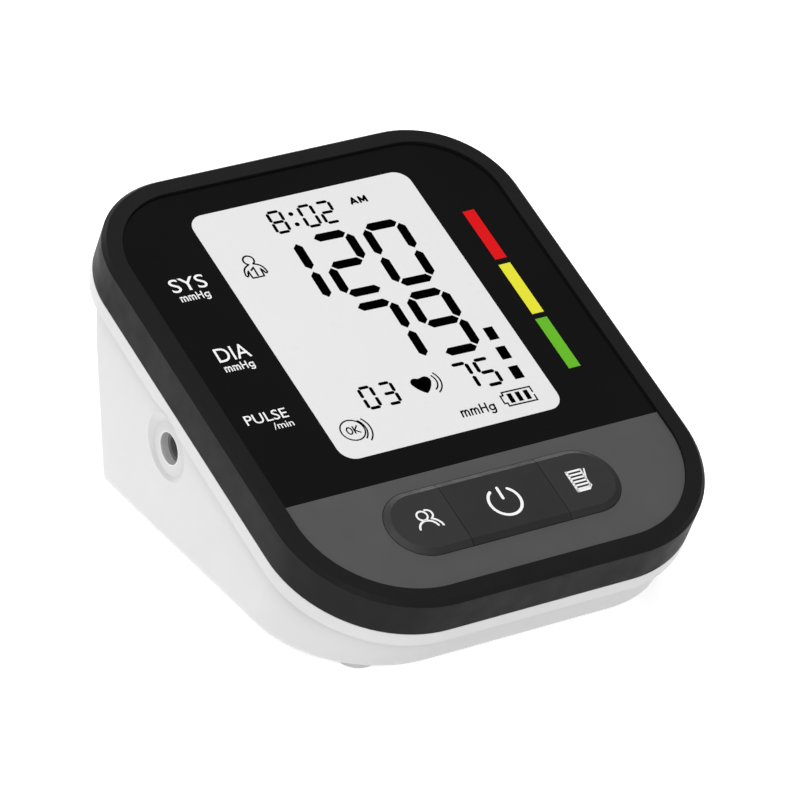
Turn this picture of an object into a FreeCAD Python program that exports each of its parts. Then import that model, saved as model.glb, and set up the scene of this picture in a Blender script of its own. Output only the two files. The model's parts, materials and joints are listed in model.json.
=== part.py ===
import FreeCAD, Part
import math
import os
import Sketcher
from FreeCAD import Placement, Rotation, Vector

# Upper arm blood pressure monitor: a wedge-shaped desk instrument with a tilted face.
#
# Row frame: +Z up, +Y to the back, origin under the middle of the object on the surface that the
# feet stand on. Most pieces are laid out in the face frame instead: x to the right, v up the face
# and n out of the face, with its origin in the middle of the panels' front surface. FACE turns a
# placement in the face frame into one in the row frame.

DIMENSIONS = [
    # the face
    ("face_width", 110.9, "outside width of the front cover"),
    ("face_length", 134.1, "outside length of the front cover along the face"),
    ("corner_top", 24.4, "outside corner radius at the top of the face"),
    ("corner_bottom", 30.6, "outside corner radius at the bottom of the face"),
    ("face_tilt", 20, "angle between the face and the table, degrees"),
    ("face_y", -2.33, "middle of the face along Y"),
    ("face_z", 45.7, "middle of the face above the table"),
    # front cover
    ("bezel_width", 4.8, "width of the raised rim round the panels"),
    ("bezel_rise", 0.7, "height of the rim above the panels"),
    ("bezel_chamfer", 1.0, "chamfer on the rim's outside edge"),
    ("cover_depth", 9.5, "depth of the black side wall below the panels"),
    ("cover_wall", 3.7, "thickness of the cover's side wall"),
    ("panel_seat", 1.8, "depth of the seat that holds the panels"),
    ("tray_thickness", 1.8, "thickness of the tray under the panels"),
    ("lip_inset", 2.7, "distance of the joint lip from the outline"),
    ("lip_height", 1.8, "height of the joint lip below the side wall"),
    # display
    ("split_line", -30.9, "v of the joint between the lens and the key panel"),
    ("window_width", 59.95, "width of the display window"),
    ("window_length", 77.3, "length of the display window"),
    ("window_centre", 15.7, "v of the middle of the window"),
    ("window_corner", 4.0, "corner radius of the window"),
    ("lens_thickness", 1.5, "thickness of the lens sheet"),
    ("glass_width", 64, "width of the display glass"),
    ("glass_length", 81, "length of the display glass"),
    ("glass_top", -2.4, "n of the front of the display glass"),
    ("glass_thickness", 1.4, "thickness of one of the two glass plates"),
    ("contact_ledge", 4, "length of the ledge that carries the display contacts"),
    ("holder_width", 68, "width of the display holder"),
    ("holder_length", 85, "length of the display holder"),
    ("reflector_thickness", 0.8, "thickness of the white sheet behind the display"),
    # keys
    ("key_row_centre", -44.3, "v of the middle of the key row"),
    ("key_row_length", 61.5, "length of the three keys together"),
    ("key_row_width", 18.5, "width of the key row"),
    ("key_split", 13.3, "distance of each joint between keys from the middle"),
    ("key_gap", 0.15, "gap round and between the keys"),
    ("key_rise", 0.9, "height of the keys above the key panel"),
    ("key_bevel", 1.5, "width of the sloping edge of the keys"),
    ("key_bottom", -4.6, "n of the underside of the keys"),
    ("key_flange", 0.6, "thickness of the flange that keeps a key in"),
    ("key_travel", 0.5, "travel of a key"),
    ("switch_side", 6.0, "side of a tact switch"),
    ("switch_height", 1.8, "height of a tact switch body"),
    ("stem_radius", 1.6, "radius of a tact switch stem"),
    ("stem_clearance", 0.1, "radial clearance of the stem in its switch"),
    # main board
    ("board_top", -7.2, "n of the front of the main board"),
    ("board_thickness", 1.6, "thickness of the main board"),
    ("board_width", 77, "width of the main board"),
    ("board_bottom", -58, "v of the bottom edge of the main board"),
    ("board_edge", 50, "v of the top edge of the main board"),
    # rear housing
    ("flange_depth", 4.1, "depth of the white rim under the black wall"),
    ("flange_round", 0.4, "rounding of the white rim's edges"),
    ("body_inset", 2.2, "step from the white rim to the body wall"),
    ("body_draft", 3, "draft of the body's side wall, degrees"),
    ("body_drop", 44.7, "distance of the base from the middle of the face"),
    ("back_angle", 26.9, "angle between the back wall and the face's normal, degrees"),
    ("back_distance", 53.13, "distance of the back wall from the middle of the face"),
    ("body_round", 2.9, "rounding of the body's back and bottom edges"),
    ("wall", 2.0, "wall thickness of the rear housing"),
    # air port, in the left side wall
    ("port_y", 17.8, "distance of the port behind the middle of the face"),
    ("port_z", 25.9, "height of the port above the table"),
    ("dish_radius", 8.2, "outside radius of the shallow dish round the port"),
    ("dish_floor_radius", 6.6, "radius of the dish's flat floor"),
    ("dish_depth", 1.0, "depth of the dish"),
    ("port_mouth_radius", 3.9, "radius of the hole in the housing"),
    ("port_mouth_depth", 2.0, "depth of the hole in the housing"),
    ("port_bore_radius", 2.85, "radius of the socket that the cuff plug goes into"),
    ("port_bore_length", 12, "depth of that socket"),
    ("port_sleeve_radius", 5.2, "outside radius of the socket"),
    # batteries
    ("cell_radius", 7.25, "radius of an AA cell"),
    ("cell_length", 49.5, "length of an AA cell without its nub"),
    ("nub_radius", 2.75, "radius of a cell's nub"),
    ("nub_height", 1.0, "height of a cell's nub"),
    ("cell_pitch", 15.0, "distance between neighbouring cells"),
    ("cell_height", 10.6, "height of the cells' axes above the table"),
    ("bay_front", -14, "front of the battery bay, behind the middle of the face"),
    ("bay_back", 44, "back of the battery bay, behind the middle of the face"),
    ("bay_half_width", 30.6, "half the width of the battery bay"),
    ("bay_top", 18.3, "height of the bay's ceiling above the table"),
    ("bay_wall", 1.5, "thickness of the bay's walls"),
    ("door_half_width", 32.5, "half the width of the battery door"),
    ("door_front", -17, "front edge of the battery door, behind the middle of the face"),
    ("door_lip", 6.5, "height above the table of the door's finger lip"),
    ("door_gap", 0.2, "gap round the battery door"),
    ("rail_reach", 1.3, "reach of the door's side rails"),
    # feet and screws
    ("foot_radius", 4.8, "radius of a rubber foot"),
    ("foot_rise", 1.0, "height of the base above the table"),
    ("foot_seat", 1.2, "depth of a foot's seat in the base"),
    ("boss_radius", 4.5, "radius of a screw pillar of the rear housing"),
    ("cover_boss_radius", 3.5, "radius of a screw pillar of the front cover"),
    ("pillar_joint", -13.6, "n of the joint between the long screw pillars"),
    ("pillar_seat", -18, "n of the heads of the screws in the long pillars"),
    ("rim_joint", -9.5, "n of the joint between the short screw pillars at the top"),
    ("rim_seat", -11.4, "n of the heads of the screws at the top"),
    ("screw_head_radius", 2.8, "radius of a housing screw's head"),
    ("screw_head_height", 1.9, "height of a housing screw's head"),
    ("screw_radius", 1.3, "radius of a housing screw's shank"),
    ("head_well_radius", 3.2, "radius of the wells that the screw heads sit in"),
    # pump and valve
    ("pump_radius", 12.1, "outside radius of the pump's motor"),
    ("pump_y", 33, "distance of the pump's axis behind the middle of the face"),
    ("pump_z", 32.6, "height of the pump's axis above the table"),
    ("motor_length", 30, "length of the motor can"),
    ("motor_wall", 1.0, "wall of the motor can"),
    ("shaft_radius", 1.0, "radius of the motor shaft"),
    ("bearing_clearance", 0.05, "radial clearance of the shaft in its bearings"),
    ("crank_offset", 1.2, "offset of the eccentric from the shaft"),
    ("valve_stroke", 1.0, "stroke of the exhaust valve"),
    ("plunger_radius", 2.4, "radius of the valve plunger"),
    ("tube_radius", 2.3, "outside radius of an air tube"),
    ("tube_bore", 1.3, "inside radius of an air tube"),
    ("barb_radius", 1.25, "radius of a tube barb"),
]


class Size:
    """A length or an angle: its number, and the expression that binds a property to the sheet."""

    def __init__(self, text, value):
        self.text = text
        self.value = value

    def join(self, sign, other, value):
        text = other.text if isinstance(other, Size) else repr(other)
        return Size(f"({self.text} {sign} {text})", value)

    def __add__(self, other):
        return self.join("+", other, self.value + number(other))

    def __sub__(self, other):
        return self.join("-", other, self.value - number(other))

    def __mul__(self, other):
        return self.join("*", other, self.value * number(other))

    def __truediv__(self, other):
        return self.join("/", other, self.value / number(other))

    def __rsub__(self, other):
        return Size(f"({other!r} - {self.text})", other - self.value)

    def __neg__(self):
        return 0 - self


def number(size):
    return size.value if isinstance(size, Size) else size


def bind(thing, path, size):
    """Give a property its size, through an expression where the size comes from the sheet."""
    if isinstance(size, Size):
        thing.setExpression(path, size.text)


doc = FreeCAD.newDocument("blood_pressure_monitor")
sheet = doc.addObject("Spreadsheet::Sheet", "dims")
for row, (alias, value, note) in enumerate(DIMENSIONS, start=1):
    sheet.set(f"A{row}", note)
    sheet.set(f"B{row}", str(value))
    sheet.setAlias(f"B{row}", alias)
doc.recompute()


def dim(alias):
    return Size(f"dims.{alias}", float(sheet.get(alias)))


TILT = dim("face_tilt").value
COS = math.cos(math.radians(TILT))
SIN = math.sin(math.radians(TILT))
ROW = Placement()
FACE = Placement(Vector(0, dim("face_y").value, dim("face_z").value), Rotation(Vector(1, 0, 0), TILT))
BASE = Placement(Vector(0, dim("face_y").value, 0), Rotation())

ALONG_X = Rotation(Vector(0, 1, 0), 90)
ALONG_Y = Rotation(Vector(1, 0, 0), -90)
ALONG_Z = Rotation()

parts = {}


def keep(label, thing, frame=None):
    """Name a finished sub-part, which also names its file, and place it in the row frame."""
    thing.Label = label
    if frame is not None:
        thing.Placement = frame
    parts[label] = thing
    return thing


# ---------------------------------------------------------------- sketches and bodies

def new_body(name):
    return doc.addObject("PartDesign::Body", name + "_body")


def new_sketch(body, name, height=0.0, role="XY_Plane"):
    """A sketch on one of the body's own origin planes, raised along that plane's normal."""
    sketch = body.newObject("Sketcher::SketchObject", name)
    plane = next(item for item in body.Origin.OriginFeatures if item.Role == role)
    sketch.AttachmentSupport = [(plane, "")]
    sketch.MapMode = "FlatFace"
    sketch.AttachmentOffset = Placement(Vector(0, 0, number(height)), Rotation())
    bind(sketch, "AttachmentOffset.Base.z", height)
    return sketch


def constrain(sketch, kind, *args):
    """Add a constraint whose last argument is its size, bound to the sheet where it can be."""
    *geometry, size = args
    index = sketch.addConstraint(Sketcher.Constraint(kind, *geometry, number(size)))
    if isinstance(size, Size):
        sketch.renameConstraint(index, f"size{index}")
        sketch.setExpression(f"Constraints.size{index}", size.text)


def pin_point(sketch, geo, point, x, y):
    """Fix a point of the sketch at x, y from its origin."""
    for kind, size in (("DistanceX", x), ("DistanceY", y)):
        if abs(number(size)) < 1e-9:
            other = -2 if kind == "DistanceX" else -1
            sketch.addConstraint(Sketcher.Constraint("PointOnObject", geo, point, other))
        elif number(size) < 0:
            constrain(sketch, kind, geo, point, -1, 1, -size)
        else:
            constrain(sketch, kind, -1, 1, geo, point, size)


def draw_circle(sketch, x, y, radius):
    circle = Part.Circle(Vector(number(x), number(y), 0), Vector(0, 0, 1), number(radius))
    geo = sketch.addGeometry(circle)
    constrain(sketch, "Radius", geo, radius)
    pin_point(sketch, geo, 3, x, y)


def draw_outline(sketch, left, right, bottom, top, r_top=0.0, r_bottom=0.0):
    """An upright rectangle with rounded top corners and rounded bottom corners."""
    x0, x1, y0, y1 = number(left), number(right), number(bottom), number(top)
    rt, rb = number(r_top), number(r_bottom)
    ends = [(x0 + rb, y0), (x1 - rb, y0), (x1, y0 + rb), (x1, y1 - rt),
            (x1 - rt, y1), (x0 + rt, y1), (x0, y1 - rt), (x0, y0 + rb)]
    corners = [(x1 - rb, y0 + rb, rb, 270, r_bottom), (x1 - rt, y1 - rt, rt, 0, r_top),
               (x0 + rt, y1 - rt, rt, 90, r_top), (x0 + rb, y0 + rb, rb, 180, r_bottom)]
    lines = []
    for i in range(4):
        start, end = ends[2 * i], ends[2 * i + 1]
        lines.append(sketch.addGeometry(Part.LineSegment(Vector(*start, 0), Vector(*end, 0))))
    for i, (cx, cy, radius, start, size) in enumerate(corners):
        after = lines[(i + 1) % 4]
        if radius > 0:
            circle = Part.Circle(Vector(cx, cy, 0), Vector(0, 0, 1), radius)
            arc = Part.ArcOfCircle(circle, math.radians(start), math.radians(start + 90))
            geo = sketch.addGeometry(arc)
            sketch.addConstraint(Sketcher.Constraint("Tangent", lines[i], 2, geo, 1))
            sketch.addConstraint(Sketcher.Constraint("Tangent", geo, 2, after, 1))
            constrain(sketch, "Radius", geo, size)
        else:
            sketch.addConstraint(Sketcher.Constraint("Coincident", lines[i], 2, after, 1))
    for i, kind in enumerate(("Horizontal", "Vertical", "Horizontal", "Vertical")):
        sketch.addConstraint(Sketcher.Constraint(kind, lines[i]))
    for line, kind, size in ((lines[3], "DistanceX", left), (lines[1], "DistanceX", right),
                             (lines[0], "DistanceY", bottom), (lines[2], "DistanceY", top)):
        if number(size) < 0:
            constrain(sketch, kind, line, 1, -1, 1, -size)
        else:
            constrain(sketch, kind, -1, 1, line, 1, size)


def face_outline(sketch, inset):
    """The face's outline, moved inwards by inset."""
    half_width = dim("face_width") / 2 - inset
    half_length = dim("face_length") / 2 - inset
    draw_outline(sketch, -half_width, half_width, -half_length, half_length,
                 dim("corner_top") - inset, dim("corner_bottom") - inset)


def key_row_outline(sketch, grow):
    """The outline of the three keys together, moved outwards by grow."""
    half_length = dim("key_row_length") / 2 + grow
    half_width = dim("key_row_width") / 2 + grow
    centre = dim("key_row_centre")
    radius = half_width - 0.001
    draw_outline(sketch, -half_length, half_length, centre - half_width, centre + half_width,
                 radius, radius)


def pad(body, sketch, length, taper=0.0, down=False):
    """Raise the sketch, or extend it downwards, drawing its walls in by taper degrees."""
    feature = body.newObject("PartDesign::Pad", sketch.Name + "_pad")
    feature.Profile = sketch
    feature.Length = number(length)
    bind(feature, "Length", length)
    feature.Reversed = down
    feature.TaperAngle = -number(taper)
    if isinstance(taper, Size):
        bind(feature, "TaperAngle", -taper)
    sketch.Visibility = False
    doc.recompute()
    return feature


def pocket(body, sketch, length, up=False):
    """Cut downwards from the sketch, or upwards, and make sure that something was cut."""
    before = body.Shape.Volume
    feature = body.newObject("PartDesign::Pocket", sketch.Name + "_pocket")
    feature.Profile = sketch
    feature.Length = number(length)
    bind(feature, "Length", length)
    feature.Reversed = up
    sketch.Visibility = False
    doc.recompute()
    if body.Shape.Volume > before - 1e-6:
        raise RuntimeError(f"{feature.Name} cuts nothing")
    return feature


def edges_where(shape, test):
    """Names of the edges whose every sampled point passes the test."""
    names = []
    for i, edge in enumerate(shape.Edges, start=1):
        first, last = edge.ParameterRange
        samples = [edge.valueAt(first + (last - first) * k / 4) for k in range(5)]
        if all(test(point) for point in samples):
            names.append(f"Edge{i}")
    return names


def dress(body, kind, test, size):
    """Round or chamfer the edges of the body's last feature that pass the test."""
    base = body.Tip
    names = edges_where(base.Shape, test)
    if not names:
        raise RuntimeError(f"{body.Name} has no edge to dress")
    feature = body.newObject(f"PartDesign::{kind}", f"{body.Name}_{kind.lower()}")
    feature.Base = (base, names)
    path = "Radius" if kind == "Fillet" else "Size"
    setattr(feature, path, number(size))
    bind(feature, path, size)
    doc.recompute()
    return feature


# ---------------------------------------------------------------- primitives and booleans

def block(name, corner, size, frame=ROW):
    """A box from its lowest corner and its three sides."""
    thing = doc.addObject("Part::Box", name)
    for path, side in zip(("Length", "Width", "Height"), size):
        setattr(thing, path, number(side))
        bind(thing, path, side)
    thing.Placement = frame * Placement(Vector(*(number(c) for c in corner)), Rotation())
    return thing


def rod(name, start, radius, height, turn=ALONG_Z, frame=ROW):
    """A cylinder from the middle of one end."""
    thing = doc.addObject("Part::Cylinder", name)
    for path, size in (("Radius", radius), ("Height", height)):
        setattr(thing, path, number(size))
        bind(thing, path, size)
    thing.Placement = frame * Placement(Vector(*(number(c) for c in start)), turn)
    return thing


def cone(name, start, radius, end_radius, height, turn=ALONG_Z, frame=ROW):
    thing = doc.addObject("Part::Cone", name)
    for path, size in (("Radius1", radius), ("Radius2", end_radius), ("Height", height)):
        setattr(thing, path, number(size))
        bind(thing, path, size)
    thing.Placement = frame * Placement(Vector(*(number(c) for c in start)), turn)
    return thing


def cut(name, base, *tools):
    """Take tools away from base."""
    thing = doc.addObject("Part::Cut", name)
    thing.Base = base
    thing.Tool = tools[0] if len(tools) == 1 else join(name + "_tools", *tools)
    return thing


def join(name, *things):
    thing = doc.addObject("Part::MultiFuse", name)
    thing.Shapes = list(things)
    return thing


def common(name, first, second):
    thing = doc.addObject("Part::Common", name)
    thing.Base = first
    thing.Tool = second
    return thing


def group(name, things):
    """Separate solids that share one sub-part."""
    thing = doc.addObject("Part::Compound", name)
    thing.Links = list(things)
    return thing


def tube(name, points, bend, radius, bore):
    """A tube along straight runs joined by tangent arcs of one radius."""
    corners = [Vector(*point) for point in points]
    edges = []
    here = corners[0]
    for before, corner, after in zip(corners, corners[1:], corners[2:]):
        into = (corner - before).normalize()
        out = (after - corner).normalize()
        turn = into.getAngle(out)
        reach = bend * math.tan(turn / 2)
        start = corner - into * reach
        end = corner + out * reach
        inward = (out - into).normalize()
        middle = corner + inward * (bend / math.cos(turn / 2) - bend)
        if (start - here).Length > 1e-6:
            edges.append(Part.LineSegment(here, start).toShape())
        edges.append(Part.Arc(start, middle, end).toShape())
        here = end
    edges.append(Part.LineSegment(here, corners[-1]).toShape())
    spine = Part.Wire(edges)
    direction = corners[1] - corners[0]
    solids = []
    for size in (radius, bore):
        ring = Part.Wire([Part.Circle(corners[0], direction, number(size)).toShape()])
        solids.append(spine.makePipeShell([ring], True, True))
    thing = doc.addObject("Part::Feature", name)
    thing.Shape = solids[0].cut(solids[1])
    return thing


# ---------------------------------------------------------------- front cover and panels

# x and v of the housing screws: four in long pillars from the base, two under the top overhang
PILLAR_SCREWS = [(42.5, -2), (-42.5, -2), (42.5, -46), (-42.5, -46)]
RIM_SCREWS = [(39, 56), (-39, 56)]
BOARD_POSTS = [(36, 34), (-36, 34), (36, -54), (-36, -54)]
PILOT_RADIUS = 1.35
POST_RADIUS = 2.0
POST_PILOT_RADIUS = 0.85
POST_PILOT_DEPTH = 4
PILLAR_PILOT_DEPTH = 9
RIM_PILOT_DEPTH = 5.5
OVERLAP = 0.5          # how far a pad or a cut runs on past the surface it has to reach
WINDOW_MARGIN = 1      # tray opening beyond the display glass
PANEL_GAP = 0.1        # between the panels and the cover, and between the two panels


def make_front_cover():
    body = new_body("front_cover")
    shell = new_sketch(body, "cover_outline", -dim("cover_depth"))
    face_outline(shell, Size("0", 0.0))
    pad(body, shell, dim("cover_depth") + dim("bezel_rise"))
    rise = dim("bezel_rise").value
    dress(body, "Chamfer", lambda p: abs(p.z - rise) < 1e-3, dim("bezel_chamfer"))

    seat = new_sketch(body, "panel_seat", dim("bezel_rise"))
    face_outline(seat, dim("bezel_width"))
    pocket(body, seat, dim("panel_seat") + dim("bezel_rise"))

    hollow = new_sketch(body, "cover_hollow", -dim("cover_depth"))
    face_outline(hollow, dim("cover_wall"))
    pocket(body, hollow, dim("cover_depth") - dim("panel_seat") - dim("tray_thickness"), up=True)

    lip = new_sketch(body, "joint_lip", -dim("cover_depth") - dim("lip_height"))
    face_outline(lip, dim("lip_inset"))
    face_outline(lip, dim("cover_wall"))
    pad(body, lip, dim("lip_height") + OVERLAP)

    window = new_sketch(body, "tray_window", -dim("panel_seat"))
    half_width = dim("glass_width") / 2 + WINDOW_MARGIN
    half_length = dim("glass_length") / 2 + WINDOW_MARGIN
    centre = dim("window_centre")
    draw_outline(window, -half_width, half_width, centre - half_length, centre + half_length)
    pocket(body, window, dim("tray_thickness") + OVERLAP)
    keys = new_sketch(body, "tray_key_opening", -dim("panel_seat"))
    key_row_outline(keys, dim("key_gap"))
    pocket(body, keys, dim("tray_thickness") + OVERLAP)

    tray_bottom = -dim("panel_seat").value - dim("tray_thickness").value
    pillars = (("pillar", PILLAR_SCREWS, dim("pillar_joint"), PILLAR_PILOT_DEPTH),
               ("rim", RIM_SCREWS, dim("rim_joint"), RIM_PILOT_DEPTH))
    for name, places, joint, depth in pillars:
        bosses = new_sketch(body, name + "_bosses", joint)
        for x, v in places:
            draw_circle(bosses, x, v, dim("cover_boss_radius"))
        pad(body, bosses, -joint + tray_bottom + OVERLAP)
        pilots = new_sketch(body, name + "_pilots", joint)
        for x, v in places:
            draw_circle(pilots, x, v, PILOT_RADIUS)
        pocket(body, pilots, depth, up=True)
    posts = new_sketch(body, "board_posts", dim("board_top"))
    for x, v in BOARD_POSTS:
        draw_circle(posts, x, v, POST_RADIUS)
    pad(body, posts, tray_bottom - dim("board_top").value + OVERLAP)
    pins = new_sketch(body, "post_pilots", dim("board_top"))
    for x, v in BOARD_POSTS:
        draw_circle(pins, x, v, POST_PILOT_RADIUS)
    pocket(body, pins, POST_PILOT_DEPTH, up=True)
    return keep("front_cover", body, FACE)


def make_lens():
    """The clear sheet over the display, with its printed mask behind it."""
    inset = dim("bezel_width") + PANEL_GAP
    half_width = dim("face_width") / 2 - inset
    top = dim("face_length") / 2 - inset
    corner = dim("corner_top") - inset
    lens = new_body("display_lens")
    sheet_outline = new_sketch(lens, "lens_outline", -dim("lens_thickness"))
    draw_outline(sheet_outline, -half_width, half_width, dim("split_line") + PANEL_GAP / 2, top, corner)
    pad(lens, sheet_outline, dim("lens_thickness"))
    keep("display_lens", lens, FACE)

    mask = new_body("display_mask")
    film = new_sketch(mask, "mask_outline", -dim("panel_seat"))
    draw_outline(film, -half_width, half_width, dim("split_line") + PANEL_GAP / 2, top, corner)
    half_window = dim("window_width") / 2
    half_height = dim("window_length") / 2
    centre = dim("window_centre")
    draw_outline(film, -half_window, half_window, centre - half_height, centre + half_height,
                 dim("window_corner"), dim("window_corner"))
    pad(mask, film, dim("panel_seat") - dim("lens_thickness"))
    keep("display_mask", mask, FACE)


def make_key_panel():
    inset = dim("bezel_width") + PANEL_GAP
    half_width = dim("face_width") / 2 - inset
    bottom = -(dim("face_length") / 2) + inset
    body = new_body("key_panel")
    sketch = new_sketch(body, "key_panel_outline", -dim("panel_seat"))
    draw_outline(sketch, -half_width, half_width, bottom, dim("split_line") - PANEL_GAP / 2,
                 0.0, dim("corner_bottom") - inset)
    key_row_outline(sketch, dim("key_gap"))
    pad(body, sketch, dim("panel_seat"))
    return keep("key_panel", body, FACE)


# ---------------------------------------------------------------- keys and their switches

KEYS = {"user": -1, "power": 0, "memory": 1}
KEY_SHAFT_TOP = 0.05
FLANGE_REACH = 1.3
TRIM_MARGIN = 1        # how far a trimming cut runs past a key
STEM_FLOOR = 0.2       # floor of a switch under its stem
STEM_PLAY = 0.1        # room that is left under a stem when its key is down


def make_key(name, side):
    """One of three keys cut from one bevelled pill: side is -1, 0 or 1 from left to right."""
    body = new_body(name + "_key")
    shaft = new_sketch(body, name + "_key_outline", dim("key_bottom") + dim("key_flange"))
    key_row_outline(shaft, Size("0", 0.0))
    pad(body, shaft, KEY_SHAFT_TOP - dim("key_bottom").value - dim("key_flange").value)
    crown = new_sketch(body, name + "_key_crown", KEY_SHAFT_TOP)
    key_row_outline(crown, Size("0", 0.0))
    height = dim("key_rise").value - KEY_SHAFT_TOP
    pad(body, crown, height, math.degrees(math.atan2(dim("key_bevel").value, height)))

    half_gap = dim("key_gap") / 2
    reach = dim("key_row_length") / 2 + TRIM_MARGIN
    centre = dim("key_row_centre")
    half_width = dim("key_row_width") / 2
    low, high = centre - half_width - TRIM_MARGIN, centre + half_width + TRIM_MARGIN
    trims = new_sketch(body, name + "_key_trim", dim("key_rise") + TRIM_MARGIN)
    if side <= 0:
        left = dim("key_split") - half_gap if side == 0 else -dim("key_split") - half_gap
        draw_outline(trims, left, reach, low, high)
    if side >= 0:
        right = half_gap - dim("key_split") if side == 0 else dim("key_split") + half_gap
        draw_outline(trims, -reach, right, low, high)
    pocket(body, trims, dim("key_rise") - dim("key_bottom") + 2 * TRIM_MARGIN)

    flange = new_sketch(body, name + "_key_flange", dim("key_bottom"))
    near = dim("key_split") + half_gap
    far = dim("key_row_length") / 2 - half_width
    left, right = {-1: (-far, -near), 0: (half_gap - dim("key_split"), dim("key_split") - half_gap),
                   1: (near, far)}[side]
    draw_outline(flange, left, right, centre - half_width - FLANGE_REACH,
                 centre + half_width + FLANGE_REACH)
    pad(body, flange, dim("key_flange"))
    return keep(name + "_key", body, FACE)


def make_switch(name, side):
    """A tact switch: a square body with a round stem that a key presses."""
    x = side * (dim("key_split").value + dim("key_row_length").value / 2) / 2
    v = dim("key_row_centre").value
    half = dim("switch_side").value / 2
    board = dim("board_top").value
    case = block(name + "_switch_case", (x - half, v - half, board),
                 (dim("switch_side"), dim("switch_side"), dim("switch_height")))
    well = rod(name + "_switch_well", (x, v, board + STEM_FLOOR),
               dim("stem_radius") + dim("stem_clearance"), dim("switch_height"))
    keep(name + "_switch", cut(name + "_switch", case, well), FACE)
    stem_bottom = board + STEM_FLOOR + dim("key_travel").value + STEM_PLAY
    stem = rod(name + "_stem", (x, v, stem_bottom), dim("stem_radius"),
               dim("key_bottom") - stem_bottom)
    keep(name + "_stem", stem, FACE * stem.Placement)


# ---------------------------------------------------------------- display

GASKET_MARGIN = 0.5
GASKET_HEIGHT = 0.6
GASKET_OPENING = (62, 79)
HOLDER_GAP = 0.1       # between the display holder and the tray
GLASS_PLAY = 0.2
CONTACT_SLOT_INSET = 2
CONTACT_SLOT_WIDTH = 3
STRIP_INSET = 3
STRIP_WIDTH = 2
RELIEF_DEPTH = 10


def make_display():
    width, length = dim("glass_width"), dim("glass_length")
    centre = dim("window_centre").value
    top = dim("glass_top").value
    thickness = dim("glass_thickness").value
    ledge = dim("contact_ledge").value
    x = -width.value / 2
    v = centre - length.value / 2
    front = block("front_glass", (x, v, top - thickness), (width, length, dim("glass_thickness")))
    back = block("back_glass", (x, v + ledge, top - 2 * thickness),
                 (width, length - dim("contact_ledge"), dim("glass_thickness")))
    keep("lcd_glass", join("lcd_glass", front, back), FACE)

    reflector_top = top - 2 * thickness
    sheet_part = block("reflector", (x, v + ledge, reflector_top - dim("reflector_thickness").value),
                       (width, length - dim("contact_ledge"), dim("reflector_thickness")))
    keep("lcd_reflector", sheet_part, FACE * sheet_part.Placement)

    ring = block("gasket_ring", (x - GASKET_MARGIN, v - GASKET_MARGIN, top),
                 (width + 2 * GASKET_MARGIN, length + 2 * GASKET_MARGIN, GASKET_HEIGHT))
    across, along = GASKET_OPENING
    hole = block("gasket_hole", (-across / 2, centre - along / 2, top - OVERLAP),
                 (across, along, GASKET_HEIGHT + 2 * OVERLAP))
    keep("display_gasket", cut("display_gasket", ring, hole), FACE)

    board = dim("board_top")
    holder_top = dim("panel_seat").value + dim("tray_thickness").value + HOLDER_GAP
    body = new_body("lcd_holder")
    outline = new_sketch(body, "holder_outline", board)
    half_width, half_length = dim("holder_width") / 2, dim("holder_length") / 2
    middle = dim("window_centre")
    draw_outline(outline, -half_width, half_width, middle - half_length, middle + half_length)
    pad(body, outline, -board - holder_top)
    seat = new_sketch(body, "holder_seat", -holder_top)
    half_width, half_length = width / 2 + GLASS_PLAY, length / 2 + GLASS_PLAY
    draw_outline(seat, -half_width, half_width, middle - half_length, middle + half_length)
    pocket(body, seat, -(dim("glass_top") - dim("glass_thickness") * 2) - holder_top
           + dim("reflector_thickness"))
    slot = new_sketch(body, "contact_slot", -holder_top)
    slot_low = middle - length / 2 + OVERLAP
    slot_end = width / 2 - CONTACT_SLOT_INSET
    draw_outline(slot, -slot_end, slot_end, slot_low, slot_low + CONTACT_SLOT_WIDTH)
    pocket(body, slot, RELIEF_DEPTH)
    for x_side in (-1, 1):
        relief = new_sketch(body, "post_relief" + ("_left" if x_side < 0 else "_right"), -holder_top)
        draw_circle(relief, BOARD_POSTS[0][0] * x_side, BOARD_POSTS[0][1], POST_RADIUS + GLASS_PLAY)
        pocket(body, relief, RELIEF_DEPTH)
    keep("lcd_holder", body, FACE)

    strip_low = centre - length.value / 2 + 2 * OVERLAP
    strip = block("strip", (x + STRIP_INSET, strip_low, board.value),
                  (width - 2 * STRIP_INSET, STRIP_WIDTH, top - thickness - board.value))
    keep("contact_strip", strip, FACE * strip.Placement)


# ---------------------------------------------------------------- main board

SCREW_HOLE_RADIUS = 1.1
CHIP_CORNER = (-4, -8)
CHIP_SIZE = (14, 14, 1.5)
BUZZER_AT = (-22, -28)
BUZZER_RADIUS = 6
BUZZER_HEIGHT = 5
SOUND_HOLE_RADIUS = 1
CAPACITORS_AT = [(22, -50), (31, -50)]
CAPACITOR_RADIUS = 3.5
CAPACITOR_HEIGHT = 7
BOARD_SCREW_HEAD_RADIUS = 1.9
BOARD_SCREW_HEAD = 1.3
BOARD_SCREW_RADIUS = 0.8
BOARD_SCREW_LENGTH = 4.6


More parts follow.
